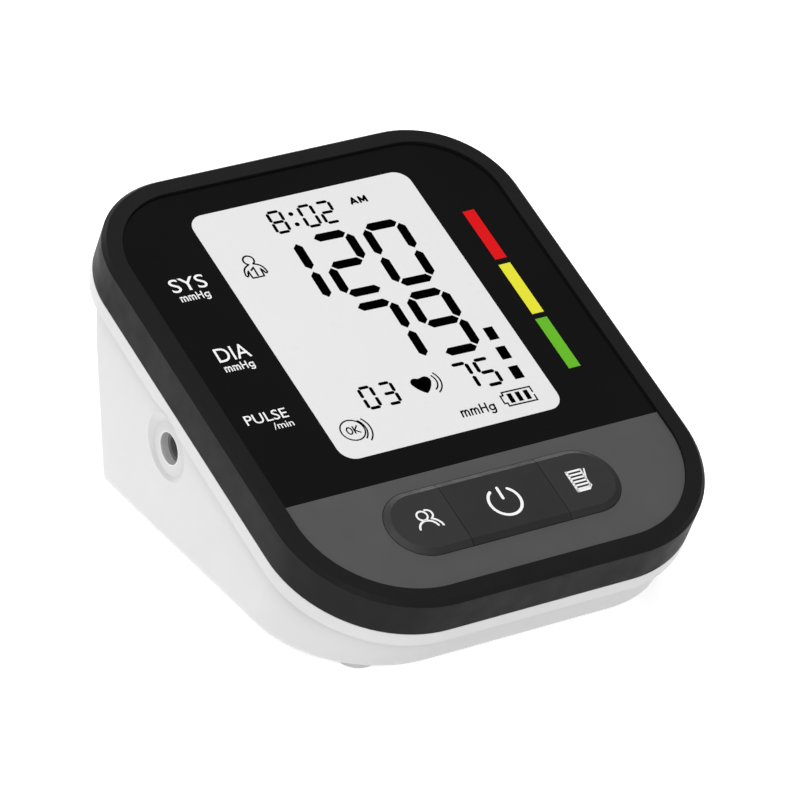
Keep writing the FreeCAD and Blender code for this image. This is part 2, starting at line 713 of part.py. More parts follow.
def make_main_board():
    body = new_body("main_board")
    outline = new_sketch(body, "board_outline", dim("board_top") - dim("board_thickness"))
    half_width = dim("board_width") / 2
    draw_outline(outline, -half_width, half_width, dim("board_bottom"), dim("board_edge"))
    for x, v in BOARD_POSTS:
        draw_circle(outline, x, v, SCREW_HOLE_RADIUS)
    pad(body, outline, dim("board_thickness"))
    keep("main_board", body, FACE)

    back = dim("board_top").value - dim("board_thickness").value
    chip = block("chip", (*CHIP_CORNER, back - CHIP_SIZE[2]), CHIP_SIZE)
    keep("microcontroller", chip, FACE * chip.Placement)

    buzzer = rod("buzzer_case", (*BUZZER_AT, back - BUZZER_HEIGHT), BUZZER_RADIUS, BUZZER_HEIGHT)
    sound_hole = rod("sound_hole", (*BUZZER_AT, back - BUZZER_HEIGHT - OVERLAP), SOUND_HOLE_RADIUS,
                     BUZZER_HEIGHT / 2 + OVERLAP)
    keep("buzzer", cut("buzzer", buzzer, sound_hole), FACE)

    cans = [rod(f"capacitor_{i}", (x, v, back - CAPACITOR_HEIGHT), CAPACITOR_RADIUS, CAPACITOR_HEIGHT)
            for i, (x, v) in enumerate(CAPACITORS_AT, start=1)]
    keep("board_capacitors", group("board_capacitors", cans), FACE)

    screws = []
    for i, (x, v) in enumerate(BOARD_POSTS, start=1):
        head = rod(f"board_screw_head_{i}", (x, v, back - BOARD_SCREW_HEAD), BOARD_SCREW_HEAD_RADIUS,
                   BOARD_SCREW_HEAD)
        shank = rod(f"board_screw_shank_{i}", (x, v, back - OVERLAP), BOARD_SCREW_RADIUS,
                    BOARD_SCREW_LENGTH)
        screws.append(join(f"board_screw_{i}", head, shank))
    keep("board_screws", group("board_screws", screws), FACE)


# ---------------------------------------------------------------- rear housing

BACK = FACE * Placement(Vector(0, 0, 0), Rotation(Vector(1, 0, 0), -dim("back_angle").value))
FAR = 200
BAY_CENTRES = [(i - 1.5) * dim("cell_pitch").value for i in range(4)]
FEET = {"front_left": (-37, -42.5), "front_right": (37, -42.5),
        "rear_left": (-40, 38), "rear_right": (40, 38)}
USB_X = -34
USB_Z = 26.8
USB_SIZE = (9.0, 7.3, 3.2)
USB_GAP = 0.2
USB_POST_Y = 38
USB_POST_RADIUS = 2.2
POWER_BOARD_Z = 24
BODY_REACH = 75        # depth that the tapering body is drawn to before its base is cut off
BELOW = 60             # how far the cut under the base reaches down
DISH_REACH = 4.2       # how far the dish's cone runs out from its floor, past the rim
LIP_PLAY = 0.2
RAIL_X = 33.8
RAIL_HALF_WIDTH = 1.8
RAIL_LENGTH = 62
RAIL_HEIGHT = 1.5
RIM_PILLAR_LOW = -14
PILLAR_LOW = -80
PORT_PAD_RADIUS = 8.7
SADDLES_AT = (9, 31)
SADDLE_SIZE = (2, 20, 9)
SHANK_PLAY = 0.3
GROOVE_LOW = 0.9
GROOVE_HEIGHT = 1.15
DOOR_RAIL_LOW = 1.05
DOOR_RAIL_LENGTH = 57
DOOR_RAIL_HEIGHT = 0.85
GRIP_COUNT = 6
GRIP_Y = 24
GRIP_PITCH = 2.4
GRIP_SIZE = (18, 1.2)
GRIP_DEPTH = 0.5
LIP_REACH = 30
PORT_MOUTH_START = -60
PORT_MOUTH_REACH = 14
PUMP_BED_LENGTH = 45
USB_SLOT_Y = 47
USB_SLOT_REACH = 10
USB_POST_APART = 4
TOWARDS_LEFT = Rotation(Vector(0, 1, 0), -90)
SMALL = 0.05           # overlap or play too small to see


def wedge(name, inset, skin):
    """The tapering body below the face, moved inwards by skin from its outside."""
    body = new_body(name)
    outline = new_sketch(body, name + "_outline", -dim("cover_depth"))
    face_outline(outline, inset)
    pad(body, outline, BODY_REACH, dim("body_draft"), down=True)
    body.Placement = FACE
    under = block(name + "_under", (-FAR / 2, -FAR / 2, -BELOW),
                  (FAR, FAR, dim("foot_rise") + BELOW + skin), BASE)
    behind = block(name + "_behind", (-FAR / 2, dim("back_distance") - skin, -FAR / 2),
                   (FAR, FAR / 2, FAR), BACK)
    return cut(name, body, under, behind)


def rounded_wedge(base):
    """Round the back and bottom edges of the wedge."""
    doc.recompute()
    floor_z = dim("foot_rise").value
    behind = dim("back_distance").value
    face_top = -dim("cover_depth").value

    def on_back_or_base(point):
        n = FACE.inverse().multVec(point).z
        off_back = abs(BACK.inverse().multVec(point).y - behind) < 1e-3
        return n < face_top - 1e-3 and (off_back or abs(point.z - floor_z) < 1e-3)

    radius = dim("body_round")
    names = edges_where(base.Shape, on_back_or_base)
    rounded = doc.addObject("Part::Fillet", base.Name + "_rounded")
    rounded.Base = base
    rounded.Edges = [(int(name[4:]), radius.value, radius.value) for name in names]
    doc.recompute()
    return rounded


def make_rim():
    """The white rim under the black wall: outside only, its hollow is cut later."""
    body = new_body("rim")
    bottom = -dim("cover_depth") - dim("flange_depth")
    outline = new_sketch(body, "rim_outline", bottom)
    face_outline(outline, Size("0", 0.0))
    pad(body, outline, dim("flange_depth"))
    low, high = bottom.value, -dim("cover_depth").value

    def on_edge(point):
        return abs(point.z - low) < 1e-3 or abs(point.z - high) < 1e-3

    dress(body, "Fillet", on_edge, dim("flange_round"))
    body.Placement = FACE
    return body


def make_housing():
    """The white wedge: its outside, its hollow, what stands inside it, and its openings."""
    draft = math.tan(math.radians(dim("body_draft").value))
    inset = dim("body_inset") - dim("flange_depth") * draft
    wall = dim("wall")
    form = rounded_wedge(wedge("wedge", inset, 0.0))
    port_y, port_z = dim("port_y").value, dim("port_z").value
    wall_x = side_wall_x(port_y, port_z)
    slope = (dim("dish_radius") - dim("dish_floor_radius")) / dim("dish_depth")
    dish = cone("dish", (-wall_x + dim("dish_depth").value, port_y, port_z),
                dim("dish_floor_radius"), dim("dish_radius") + slope * (DISH_REACH - dim("dish_depth")),
                DISH_REACH, TOWARDS_LEFT, BASE)
    outside = cut("housing_outside", join("rim_and_wedge", make_rim(), form), dish)

    hollow = wedge("hollow", inset + wall, wall)
    upper = new_body("rim_hollow")
    rim_floor = dim("flange_depth") - wall
    outline = new_sketch(upper, "rim_hollow_outline", -dim("cover_depth") - rim_floor)
    face_outline(outline, dim("lip_inset") - LIP_PLAY)
    pad(upper, outline, rim_floor + 2 * OVERLAP)
    upper.Placement = FACE
    shell = cut("housing_shell", outside, hollow, upper)

    solids = []
    bay_half = dim("bay_half_width") + dim("bay_wall")
    bay_low = dim("foot_rise") + wall
    bay_length = dim("bay_back") - dim("bay_front") + dim("bay_wall")
    solids.append(block("bay_walls", (-bay_half, dim("bay_front") - dim("bay_wall"), bay_low),
                        (bay_half * 2, bay_length * 2, dim("bay_top") + dim("bay_wall") - bay_low),
                        BASE))
    for side in (-1, 1):
        solids.append(block("rail" + ("_left" if side < 0 else "_right"),
                            (side * RAIL_X - RAIL_HALF_WIDTH, dim("door_front"), bay_low + SMALL),
                            (2 * RAIL_HALF_WIDTH, RAIL_LENGTH, RAIL_HEIGHT), BASE))
    for i, (x, v) in enumerate(PILLAR_SCREWS):
        solids.append(rod(f"pillar_{i}", (x, v, PILLAR_LOW), dim("boss_radius"),
                          dim("pillar_joint") - PILLAR_LOW, ALONG_Z, FACE))
    for i, (x, v) in enumerate(RIM_SCREWS):
        solids.append(rod(f"rim_pillar_{i}", (x, v, RIM_PILLAR_LOW), dim("boss_radius"),
                          dim("rim_joint") - RIM_PILLAR_LOW, ALONG_Z, FACE))
    solids.append(rod("port_pad", (-wall_x + OVERLAP, port_y, port_z), PORT_PAD_RADIUS,
                      dim("dish_depth") + dim("port_mouth_depth") - OVERLAP, ALONG_X, BASE))
    for i, x in enumerate(SADDLES_AT):
        solids.append(block(f"pump_saddle_{i}", (x, dim("pump_y") - SADDLE_SIZE[1] / 2, dim("bay_top")),
                            SADDLE_SIZE, BASE))
    for name, x in (("left", USB_X - USB_POST_APART), ("right", USB_X + USB_POST_APART)):
        solids.append(rod("usb_post_" + name, (x, USB_POST_Y, bay_low), USB_POST_RADIUS,
                          POWER_BOARD_Z - bay_low.value, ALONG_Z, BASE))
    inside = common("housing_ribs", join("housing_solids", *solids), outside)

    gap = dim("door_gap")
    door_half = dim("door_half_width") + gap
    bay_end = dim("bay_back") + dim("bay_wall") + 0.1
    tools = [
        block("bay_hollow", (-dim("bay_half_width"), dim("bay_front"), 0),
              (dim("bay_half_width") * 2, dim("bay_back") - dim("bay_front"), dim("bay_top")), BASE),
        block("door_opening", (-door_half, dim("door_front") - gap, -1),
              (door_half * 2, FAR / 2, bay_low + 1 + SMALL), BASE),
        block("lip_opening", (-door_half, bay_end, -1),
              (door_half * 2, LIP_REACH, dim("door_lip") + gap + 1), BASE),
    ]
    for side in (-1, 1):
        reach = dim("rail_reach") + gap
        corner = -door_half - reach + gap if side < 0 else door_half - gap
        tools.append(block("groove" + ("_left" if side < 0 else "_right"),
                           (corner, dim("door_front") - gap, dim("foot_rise") + GROOVE_LOW),
                           (reach, FAR / 2, GROOVE_HEIGHT), BASE))
    for i, (x, v) in enumerate(PILLAR_SCREWS):
        tools.append(rod(f"well_{i}", (x, v, PILLAR_LOW), dim("head_well_radius"),
                         dim("pillar_seat") - PILLAR_LOW, ALONG_Z, FACE))
        tools.append(rod(f"clear_{i}", (x, v, PILLAR_LOW), dim("screw_radius") + SHANK_PLAY,
                         -PILLAR_LOW, ALONG_Z, FACE))
    for i, (x, v) in enumerate(RIM_SCREWS):
        tools.append(rod(f"rim_well_{i}", (x, v, 2 * RIM_PILLAR_LOW), dim("head_well_radius"),
                         dim("rim_seat") - 2 * RIM_PILLAR_LOW, ALONG_Z, FACE))
        tools.append(rod(f"rim_clear_{i}", (x, v, 2 * RIM_PILLAR_LOW), dim("screw_radius") + SHANK_PLAY,
                         -2 * RIM_PILLAR_LOW, ALONG_Z, FACE))
    for name, (x, y) in FEET.items():
        tools.append(rod(f"seat_{name}", (x, y, -1), dim("foot_radius") + 2 * SMALL,
                         dim("foot_rise") + dim("foot_seat") + 1, ALONG_Z, BASE))
    tools.append(rod("port_mouth", (PORT_MOUTH_START, port_y, port_z), dim("port_mouth_radius"),
                     PORT_MOUTH_REACH, ALONG_X, BASE))
    tools.append(rod("pump_bed", (0, dim("pump_y"), dim("pump_z")), dim("pump_radius") + SMALL,
                     PUMP_BED_LENGTH, ALONG_X, BASE))
    width, depth, height = USB_SIZE
    tools.append(block("usb_slot", (USB_X - width / 2 - USB_GAP, USB_SLOT_Y,
                                    USB_Z - height / 2 - USB_GAP),
                       (width + 2 * USB_GAP, USB_SLOT_REACH, height + 2 * USB_GAP), BASE))
    housing = cut("rear_housing", join("housing_with_ribs", shell, inside), *tools)
    keep("rear_housing", housing)

    skin = cut("wedge_skin", form, hollow)
    blank = join("door_blank",
                 block("door_plate", (-dim("door_half_width"), dim("door_front"), 0),
                       (dim("door_half_width") * 2, FAR / 2, dim("foot_rise") + wall), BASE),
                 block("door_lip_plate", (-dim("door_half_width"), bay_end + gap, 0),
                       (dim("door_half_width") * 2, LIP_REACH, dim("door_lip")), BASE))
    tongue = dim("door_half_width") + dim("rail_reach")
    rails = block("door_rails", (-tongue, dim("door_front"), dim("foot_rise") + DOOR_RAIL_LOW),
                  (tongue * 2, DOOR_RAIL_LENGTH, DOOR_RAIL_HEIGHT), BASE)
    grips = [block(f"grip_{i}", (-GRIP_SIZE[0] / 2, GRIP_Y + GRIP_PITCH * i, 0),
                   (*GRIP_SIZE, dim("foot_rise") + GRIP_DEPTH), BASE)
             for i in range(GRIP_COUNT)]
    door = cut("battery_door", join("door_with_rails", common("door_skin", skin, blank), rails), *grips)
    keep("battery_door", door)


def side_wall_x(y, z):
    """Half the width of the wedge's outside at a point of its straight side."""
    n = FACE.inverse().multVec(Vector(0, y + dim("face_y").value, z)).z
    draft = math.tan(math.radians(dim("body_draft").value))
    below_rim = -n - dim("cover_depth").value - dim("flange_depth").value
    return dim("face_width").value / 2 - dim("body_inset").value - below_rim * draft


# ---------------------------------------------------------------- feet, screws, port, socket

FOOT_CHAMFER = 0.4
PILLAR_SCREW_LENGTH = 10
RIM_SCREW_LENGTH = 6.5
CROSS_LENGTH = 3.2
CROSS_WIDTH = 0.6
CROSS_DEPTH = 0.9
PORT_FLANGE = (1.8, 1.4)   # reach and thickness of the flange behind the wall
PORT_BARB_LENGTH = 4.3
PASSAGE_RADIUS = 0.6
SOCKET_FRONT = 51.0
SOCKET_SHEET = 0.3
TONGUE_SIZE = (6.6, 5.5, 0.7)
POWER_BOARD = (13, 13, 1.2)
POST_INSET = 4


def make_feet():
    for name, (x, y) in FEET.items():
        height = dim("foot_rise") + dim("foot_seat") - SMALL
        base = rod(f"foot_{name}_disc", (x, y, 0), dim("foot_radius"), height)
        foot = doc.addObject("Part::Chamfer", f"foot_{name}")
        foot.Base = base
        doc.recompute()
        rims = edges_where(base.Shape, lambda p: abs(p.z) < 1e-3)
        foot.Edges = [(int(edge[4:]), FOOT_CHAMFER, FOOT_CHAMFER) for edge in rims]
        keep("foot_" + name, foot, BASE)


def make_housing_screws():
    screws = []
    places = [(x, v, dim("pillar_seat"), PILLAR_SCREW_LENGTH) for x, v in PILLAR_SCREWS]
    places += [(x, v, dim("rim_seat"), RIM_SCREW_LENGTH) for x, v in RIM_SCREWS]
    long, thin = CROSS_LENGTH, CROSS_WIDTH
    for i, (x, v, seat, length) in enumerate(places):
        height = dim("screw_head_height")
        head = rod(f"screw_head_{i}", (x, v, seat - height), dim("screw_head_radius"), height)
        low = seat - height - SMALL
        recess = block(f"screw_slot_{i}", (x - long / 2, v - thin / 2, low), (long, thin, CROSS_DEPTH))
        cross = block(f"screw_cross_{i}", (x - thin / 2, v - long / 2, low), (thin, long, CROSS_DEPTH))
        shank = rod(f"screw_shank_{i}", (x, v, seat - SMALL), dim("screw_radius"), length)
        screws.append(cut(f"screw_{i}", join(f"screw_blank_{i}", head, shank), recess, cross))
    keep("housing_screws", group("housing_screws", screws), FACE)


def make_air_port():
    """The socket behind the hole in the side wall, with a barb for the hose inside."""
    y, z = dim("port_y").value, dim("port_z").value
    mouth_x = -side_wall_x(y, z) + dim("dish_depth").value + dim("port_mouth_depth").value
    reach, thickness = PORT_FLANGE
    length = dim("port_bore_length") + 1
    flange = rod("port_flange", (mouth_x, y, z), dim("port_sleeve_radius") + reach, thickness, ALONG_X)
    sleeve = rod("port_sleeve", (mouth_x, y, z), dim("port_sleeve_radius"), length, ALONG_X)
    barb = rod("port_barb", (mouth_x + length.value - OVERLAP, y, z), dim("barb_radius"),
               PORT_BARB_LENGTH, ALONG_X)
    bore = rod("port_bore", (mouth_x - 1, y, z), dim("port_bore_radius"), length, ALONG_X)
    passage = rod("port_passage", (mouth_x, y, z), PASSAGE_RADIUS, length * 2, ALONG_X)
    solid = join("port_solid", flange, sleeve, barb)
    keep("air_port", cut("air_port", solid, bore, passage), BASE)
    return mouth_x


def make_power_socket():
    width, depth, height = USB_SIZE
    left, back, low = USB_X - width / 2, SOCKET_FRONT - depth, USB_Z - height / 2
    skin = SOCKET_SHEET
    shell = block("socket_shell", (left, back, low), (width, depth, height))
    hollow = block("socket_hollow", (left + skin, back + 1, low + skin),
                   (width - 2 * skin, depth, height - 2 * skin))
    tongue = block("socket_tongue", (USB_X - TONGUE_SIZE[0] / 2, back + OVERLAP,
                                     USB_Z - TONGUE_SIZE[2] / 2), TONGUE_SIZE)
    socket = join("usb_socket", cut("socket_can", shell, hollow), tongue)
    keep("usb_socket", socket, BASE)
    board = block("power_board", (USB_X - POWER_BOARD[0] / 2, USB_POST_Y - POST_INSET, POWER_BOARD_Z),
                  POWER_BOARD)
    keep("power_board", board, BASE * board.Placement)


# ---------------------------------------------------------------- batteries

CONTACT_THICKNESS = 0.5
CONTACT_HALF_WIDTH = 6.5
CONTACT_HEIGHT = 12
SPRING_RADII = (4.6, 3.0)   # at the contact and at the cell


def make_batteries():
    front, back = dim("bay_front").value, dim("bay_back").value
    z = dim("cell_height").value
    plate = CONTACT_THICKNESS
    spring_room = back - front - 2 * plate - dim("cell_length").value - dim("nub_height").value
    springs = []
    for i, x in enumerate(BAY_CENTRES):
        forward = i % 2 == 0
        start = front + plate + (spring_room if forward else dim("nub_height").value)
        can = rod(f"cell_{i + 1}_can", (x, start, z), dim("cell_radius"), dim("cell_length"), ALONG_Y)
        nub_start = start + dim("cell_length").value - SMALL if forward else front + plate
        nub = rod(f"cell_{i + 1}_nub", (x, nub_start, z), dim("nub_radius"), dim("nub_height") + SMALL,
                  ALONG_Y)
        keep(f"battery_{i + 1}", join(f"battery_{i + 1}", can, nub), BASE)
        radii = SPRING_RADII if forward else SPRING_RADII[::-1]
        spring_start = front + plate if forward else back - plate - spring_room
        springs.append(cone(f"spring_{i + 1}", (x, spring_start, z), radii[0], radii[1], spring_room,
                            ALONG_Y))
    keep("battery_springs", group("battery_springs", springs), BASE)

    pitch = dim("cell_pitch").value
    half = CONTACT_HALF_WIDTH
    spans = [(front, 0, 1), (front, 2, 3), (back - plate, 0, 0), (back - plate, 1, 2),
             (back - plate, 3, 3)]
    plates = [block(f"contact_{i + 1}", (BAY_CENTRES[first] - half, y, z - CONTACT_HEIGHT / 2),
                    ((last - first) * pitch + 2 * half, plate, CONTACT_HEIGHT))
              for i, (y, first, last) in enumerate(spans)]
    keep("battery_contacts", group("battery_contacts", plates), BASE)


# ---------------------------------------------------------------- pump

PUMP_LEFT = -16.0
COVER_LENGTH = 8
DIAPHRAGM_LENGTH = 2
CRANKCASE_LENGTH = 12
CAP_WALL = 2
CRANKCASE_WALL = 1.2
OUTLET_LENGTH = 3.5
CUP_COUNT = 3
CUP_CIRCLE = 5.2
CUP_RADIUS = 3.2
CUP_LENGTH = 3
ROCKER_RADIUS = 7.0
ROCKER_THICKNESS = 1.6
HUB_RADIUS = 1.6
HUB_LENGTH = 1.4
END_WALL = 1.5
FRONT_BEARING_LENGTH = 5
MAGNET_START = 4
MAGNET_LENGTH = 18
MAGNET_GAP = 0.1
MAGNET_BORE = 9.3
MAGNET_SPLIT = 3
ARMATURE_RADIUS = 8.4
ARMATURE_LENGTH = 16
COMMUTATOR_RADIUS = 2.8
COMMUTATOR_LENGTH = 4
CRANK_RADIUS = 3.2
CRANK_LENGTH = 4
CRANK_REACH = 4.5
SHAFT_BEYOND = 2.8
END_CAP_LENGTH = 3
SLOT_WIDTH = 2
SLOT_FLOOR = 4


def make_pump():
    """From left to right: cover with outlet, diaphragm, crankcase with rocker, motor."""
    y, z = dim("pump_y").value, dim("pump_z").value
    radius = dim("pump_radius")

    def turned(name, x, size, length, dz=0.0, dy=0.0):
        return rod(name, (x, y + dy, z + dz), size, length, ALONG_X)

    outlet_drop = dim("port_z").value - z
    cap = turned("cover_cap", PUMP_LEFT, radius, COVER_LENGTH)
    barb = turned("outlet_barb", PUMP_LEFT - OUTLET_LENGTH, dim("barb_radius"),
                  OUTLET_LENGTH + OVERLAP, outlet_drop)
    chamber = turned("cover_chamber", PUMP_LEFT + CAP_WALL + 1, radius - CAP_WALL, COVER_LENGTH)
    outlet = turned("outlet_passage", PUMP_LEFT - OUTLET_LENGTH - 1, PASSAGE_RADIUS, COVER_LENGTH,
                    outlet_drop)
    keep("pump_cover", cut("pump_cover", join("cover_solid", cap, barb), chamber, outlet), BASE)

    membrane_x = PUMP_LEFT + COVER_LENGTH
    disc = turned("diaphragm_disc", membrane_x, radius, DIAPHRAGM_LENGTH)
    turns = [2 * math.pi * i / CUP_COUNT for i in range(CUP_COUNT)]
    cups = [turned(f"cup_{i}", membrane_x - CUP_LENGTH + OVERLAP, CUP_RADIUS, CUP_LENGTH,
                   CUP_CIRCLE * math.cos(turn), CUP_CIRCLE * math.sin(turn))
            for i, turn in enumerate(turns)]
    keep("pump_diaphragm", join("pump_diaphragm", disc, *cups), BASE)

    case_x = membrane_x + DIAPHRAGM_LENGTH
    wall = turned("crankcase_wall", case_x, radius, CRANKCASE_LENGTH)
    room = turned("crankcase_room", case_x - 1, radius - CRANKCASE_WALL, CRANKCASE_LENGTH + 2)
    keep("pump_crankcase", cut("pump_crankcase", wall, room), BASE)
    rocker_x = case_x + ROCKER_THICKNESS
    rocker = turned("rocker_disc", rocker_x, ROCKER_RADIUS, ROCKER_THICKNESS)
    pivot = turned("rocker_hub", rocker_x + ROCKER_THICKNESS, HUB_RADIUS, HUB_LENGTH)
    keep("pump_rocker", join("pump_rocker", rocker, pivot), BASE)

    motor_x = case_x + CRANKCASE_LENGTH
    length = dim("motor_length")
    clearance = dim("bearing_clearance")
    can = turned("motor_can", motor_x, radius, length)
    inside = turned("motor_room", motor_x + END_WALL, radius - dim("motor_wall"), length)
    bearing = turned("motor_bearing", motor_x - 1, dim("shaft_radius") + clearance,
                     FRONT_BEARING_LENGTH)
    keep("motor_case", cut("motor_case", can, inside, bearing), BASE)
    magnet_x = motor_x + MAGNET_START
    ring = turned("magnet_ring", magnet_x, radius - dim("motor_wall") - MAGNET_GAP, MAGNET_LENGTH)
    ring_hole = turned("magnet_hole", magnet_x - 1, MAGNET_BORE, MAGNET_LENGTH + 2)
    split = block("magnet_split", (magnet_x - 1, y - FAR / 2, z - MAGNET_SPLIT / 2),
                  (MAGNET_LENGTH + 2, FAR, MAGNET_SPLIT))
    keep("motor_magnets", cut("motor_magnets", ring, ring_hole, split), BASE)
    end_x = motor_x + length.value - END_CAP_LENGTH
    end = turned("end_disc", end_x, radius - dim("motor_wall") - SMALL, END_CAP_LENGTH)
    end_bearing = turned("end_bearing", end_x - 1, dim("shaft_radius") + clearance,
                         END_CAP_LENGTH + 2)
    keep("motor_end_cap", cut("motor_end_cap", end, end_bearing), BASE)

    crank_x = motor_x - CRANK_REACH
    core_x = magnet_x + 1
    shaft = turned("shaft", crank_x, dim("shaft_radius"), length.value + SHAFT_BEYOND)
    core = turned("armature_core", core_x, ARMATURE_RADIUS, ARMATURE_LENGTH)
    commutator = turned("commutator", core_x + ARMATURE_LENGTH, COMMUTATOR_RADIUS,
                        COMMUTATOR_LENGTH)
    crank = turned("crank_disc", crank_x - 1, CRANK_RADIUS, CRANK_LENGTH, dim("crank_offset").value)
    slots = []
    for i in range(CUP_COUNT):
        turn = Rotation(Vector(1, 0, 0), 360 * i / CUP_COUNT)
        slot = doc.addObject("Part::Box", f"armature_slot_{i}")
        slot.Length, slot.Width, slot.Height = ARMATURE_LENGTH + 2, SLOT_WIDTH, ARMATURE_RADIUS
        slot.Placement = Placement(Vector(magnet_x, y, z), turn) * Placement(
            Vector(0, -SLOT_WIDTH / 2, SLOT_FLOOR), ROW.Rotation)
        slots.append(slot)
    body = join("rotor_solid", shaft, core, commutator, crank)
    keep("motor_rotor", cut("motor_rotor", body, *slots), BASE)


# ---------------------------------------------------------------- exhaust valve

VALVE_Y = 3.5
VALVE_LEFT = 10.0
VALVE_LENGTH = 19.0
FRAME_HALF_WIDTH = 5.2
FRAME_SHEET = 1
COIL_RADIUS = 4.6
COIL_GAP = 0.2
TIP_RADIUS = 1.8
TIP_LENGTH = 2
SLUG_LENGTH = 16
SEAT_BLOCK = (5, 8)
SEAT_DISTANCE = 6.5    # from the valve's frame to its seat
POLE_LENGTH = 3
SEAT_BARB_LENGTH = 4


def make_valve():
    """A small solenoid: its spring holds the plunger off the seat, so the cuff empties at rest."""
    y, z = VALVE_Y, dim("port_z").value
    floor = dim("bay_top").value + dim("bay_wall").value
    half = FRAME_HALF_WIDTH
    right = VALVE_LEFT + VALVE_LENGTH
    clearance = 0.1
    ear = (FRAME_SHEET, 2 * half, z + half - floor)
    base = block("frame_base", (VALVE_LEFT, y - half, floor), (VALVE_LENGTH, 2 * half, FRAME_SHEET))
    left_ear = block("frame_left", (VALVE_LEFT, y - half, floor), ear)
    right_ear = block("frame_right", (right - FRAME_SHEET, y - half, floor), ear)
    bore = rod("frame_bore", (VALVE_LEFT - FRAME_SHEET, y, z), dim("plunger_radius") + clearance,
               3 * FRAME_SHEET, ALONG_X)
    keep("valve_frame", cut("valve_frame", join("frame_solid", base, left_ear, right_ear), bore), BASE)

    coil_inset = FRAME_SHEET + COIL_GAP
    winding = rod("coil_winding", (VALVE_LEFT + coil_inset, y, z), COIL_RADIUS,
                  VALVE_LENGTH - 2 * coil_inset, ALONG_X)
    core = rod("coil_core", (VALVE_LEFT, y, z), dim("plunger_radius") + clearance,
               VALVE_LENGTH - POLE_LENGTH, ALONG_X)
    keep("valve_coil", cut("valve_coil", winding, core), BASE)

    seat_x = VALVE_LEFT - SEAT_DISTANCE
    tip_x = seat_x + dim("valve_stroke").value
    rubber = rod("plunger_tip", (tip_x, y, z), TIP_RADIUS, TIP_LENGTH, ALONG_X)
    slug = rod("plunger_slug", (tip_x + TIP_LENGTH - OVERLAP, y, z), dim("plunger_radius"),
               SLUG_LENGTH, ALONG_X)
    keep("valve_plunger", join("valve_plunger", rubber, slug), BASE)

    thick, wide = SEAT_BLOCK
    block_part = block("seat_block", (seat_x - thick, y - wide / 2, floor),
                       (thick, wide, z + wide / 2 - floor))
    barb_x = seat_x - thick - SEAT_BARB_LENGTH
    barb = rod("seat_barb", (barb_x, y, z), dim("barb_radius"), SEAT_BARB_LENGTH + 1, ALONG_X)
    passage = rod("seat_passage", (barb_x - 1, y, z), PASSAGE_RADIUS, seat_x - barb_x + 3, ALONG_X)
    keep("valve_seat", cut("valve_seat", join("seat_solid", block_part, barb), passage), BASE)


# ---------------------------------------------------------------- air line

MANIFOLD_X = -24.0
SENSOR_V = -5.0
TUBE_BEND = 4.5
TUBE_GAP = 0.05        # between a tube's end and the wall that its barb stands on
MANIFOLD_HALF = 4.0
MANIFOLD_BARB = 3.5
SENSOR_SIZE = (11, 9, 4.5)
SENSOR_BARB = 2.5
VALVE_TURN_X = -13.0


def make_air_line(port_x):
    """The cross piece behind the port, the pressure sensor, and the four tubes that meet there."""
    y, z = dim("port_y").value, dim("port_z").value
    half = MANIFOLD_HALF
    barb_length = MANIFOLD_BARB
    cube = block("manifold_cube", (MANIFOLD_X - half, y - half, z - half), (2 * half,) * 3)
    across = rod("manifold_x", (MANIFOLD_X - half - barb_length, y, z), dim("barb_radius"),
                 2 * (half + barb_length), ALONG_X)
    along = rod("manifold_y", (MANIFOLD_X, y - half - barb_length, z), dim("barb_radius"),
                2 * (half + barb_length), ALONG_Y)
    reach = half + barb_length + 1
    bore_x = rod("manifold_bore_x", (MANIFOLD_X - reach, y, z), PASSAGE_RADIUS, 2 * reach, ALONG_X)
    bore_y = rod("manifold_bore_y", (MANIFOLD_X, y - reach, z), PASSAGE_RADIUS, 2 * reach, ALONG_Y)
    keep("air_manifold", cut("air_manifold", join("manifold_solid", cube, across, along),
                             bore_x, bore_y), BASE)

    back = dim("board_top").value - dim("board_thickness").value
    across, along_v, deep = SENSOR_SIZE
    case_bottom = back - deep
    sensor_case = block("sensor_case", (MANIFOLD_X - across / 2, SENSOR_V - along_v / 2, case_bottom),
                        SENSOR_SIZE)
    sensor_barb = rod("sensor_barb", (MANIFOLD_X, SENSOR_V, case_bottom - SENSOR_BARB),
                      dim("barb_radius"), SENSOR_BARB + OVERLAP)
    sensor_hole = rod("sensor_hole", (MANIFOLD_X, SENSOR_V, case_bottom - SENSOR_BARB - OVERLAP),
                      PASSAGE_RADIUS, 2 * SENSOR_BARB)
    keep("pressure_sensor", cut("pressure_sensor", join("sensor_solid", sensor_case, sensor_barb),
                                sensor_hole), FACE)

    def above_base(v, n):
        point = BASE.inverse().multVec(FACE.multVec(Vector(MANIFOLD_X, v, n)))
        return (point.x, point.y, point.z)

    seat_x = VALVE_LEFT - SEAT_DISTANCE - SEAT_BLOCK[0]
    turn_x = VALVE_TURN_X
    sensor_turn = (z - dim("face_z").value - SENSOR_V * SIN) / COS
    routes = {
        "port_tube": [(port_x + dim("port_bore_length").value + 1 + TUBE_GAP, y, z),
                      (MANIFOLD_X - half, y, z)],
        "pump_tube": [(PUMP_LEFT - TUBE_GAP, dim("pump_y").value, z), (MANIFOLD_X, dim("pump_y").value, z),
                      (MANIFOLD_X, y + half, z)],
        "valve_tube": [(MANIFOLD_X + half, y, z), (turn_x, y, z), (turn_x, VALVE_Y, z),
                       (seat_x - TUBE_GAP, VALVE_Y, z)],
        "sensor_tube": [(MANIFOLD_X, y - half, z), above_base(SENSOR_V, sensor_turn),
                        above_base(SENSOR_V, case_bottom - TUBE_GAP)],
    }
    for name, points in routes.items():
        hose = tube(name, points, TUBE_BEND, dim("tube_radius"), dim("tube_bore"))
        keep(name, hose, BASE)


# ---------------------------------------------------------------- the whole monitor

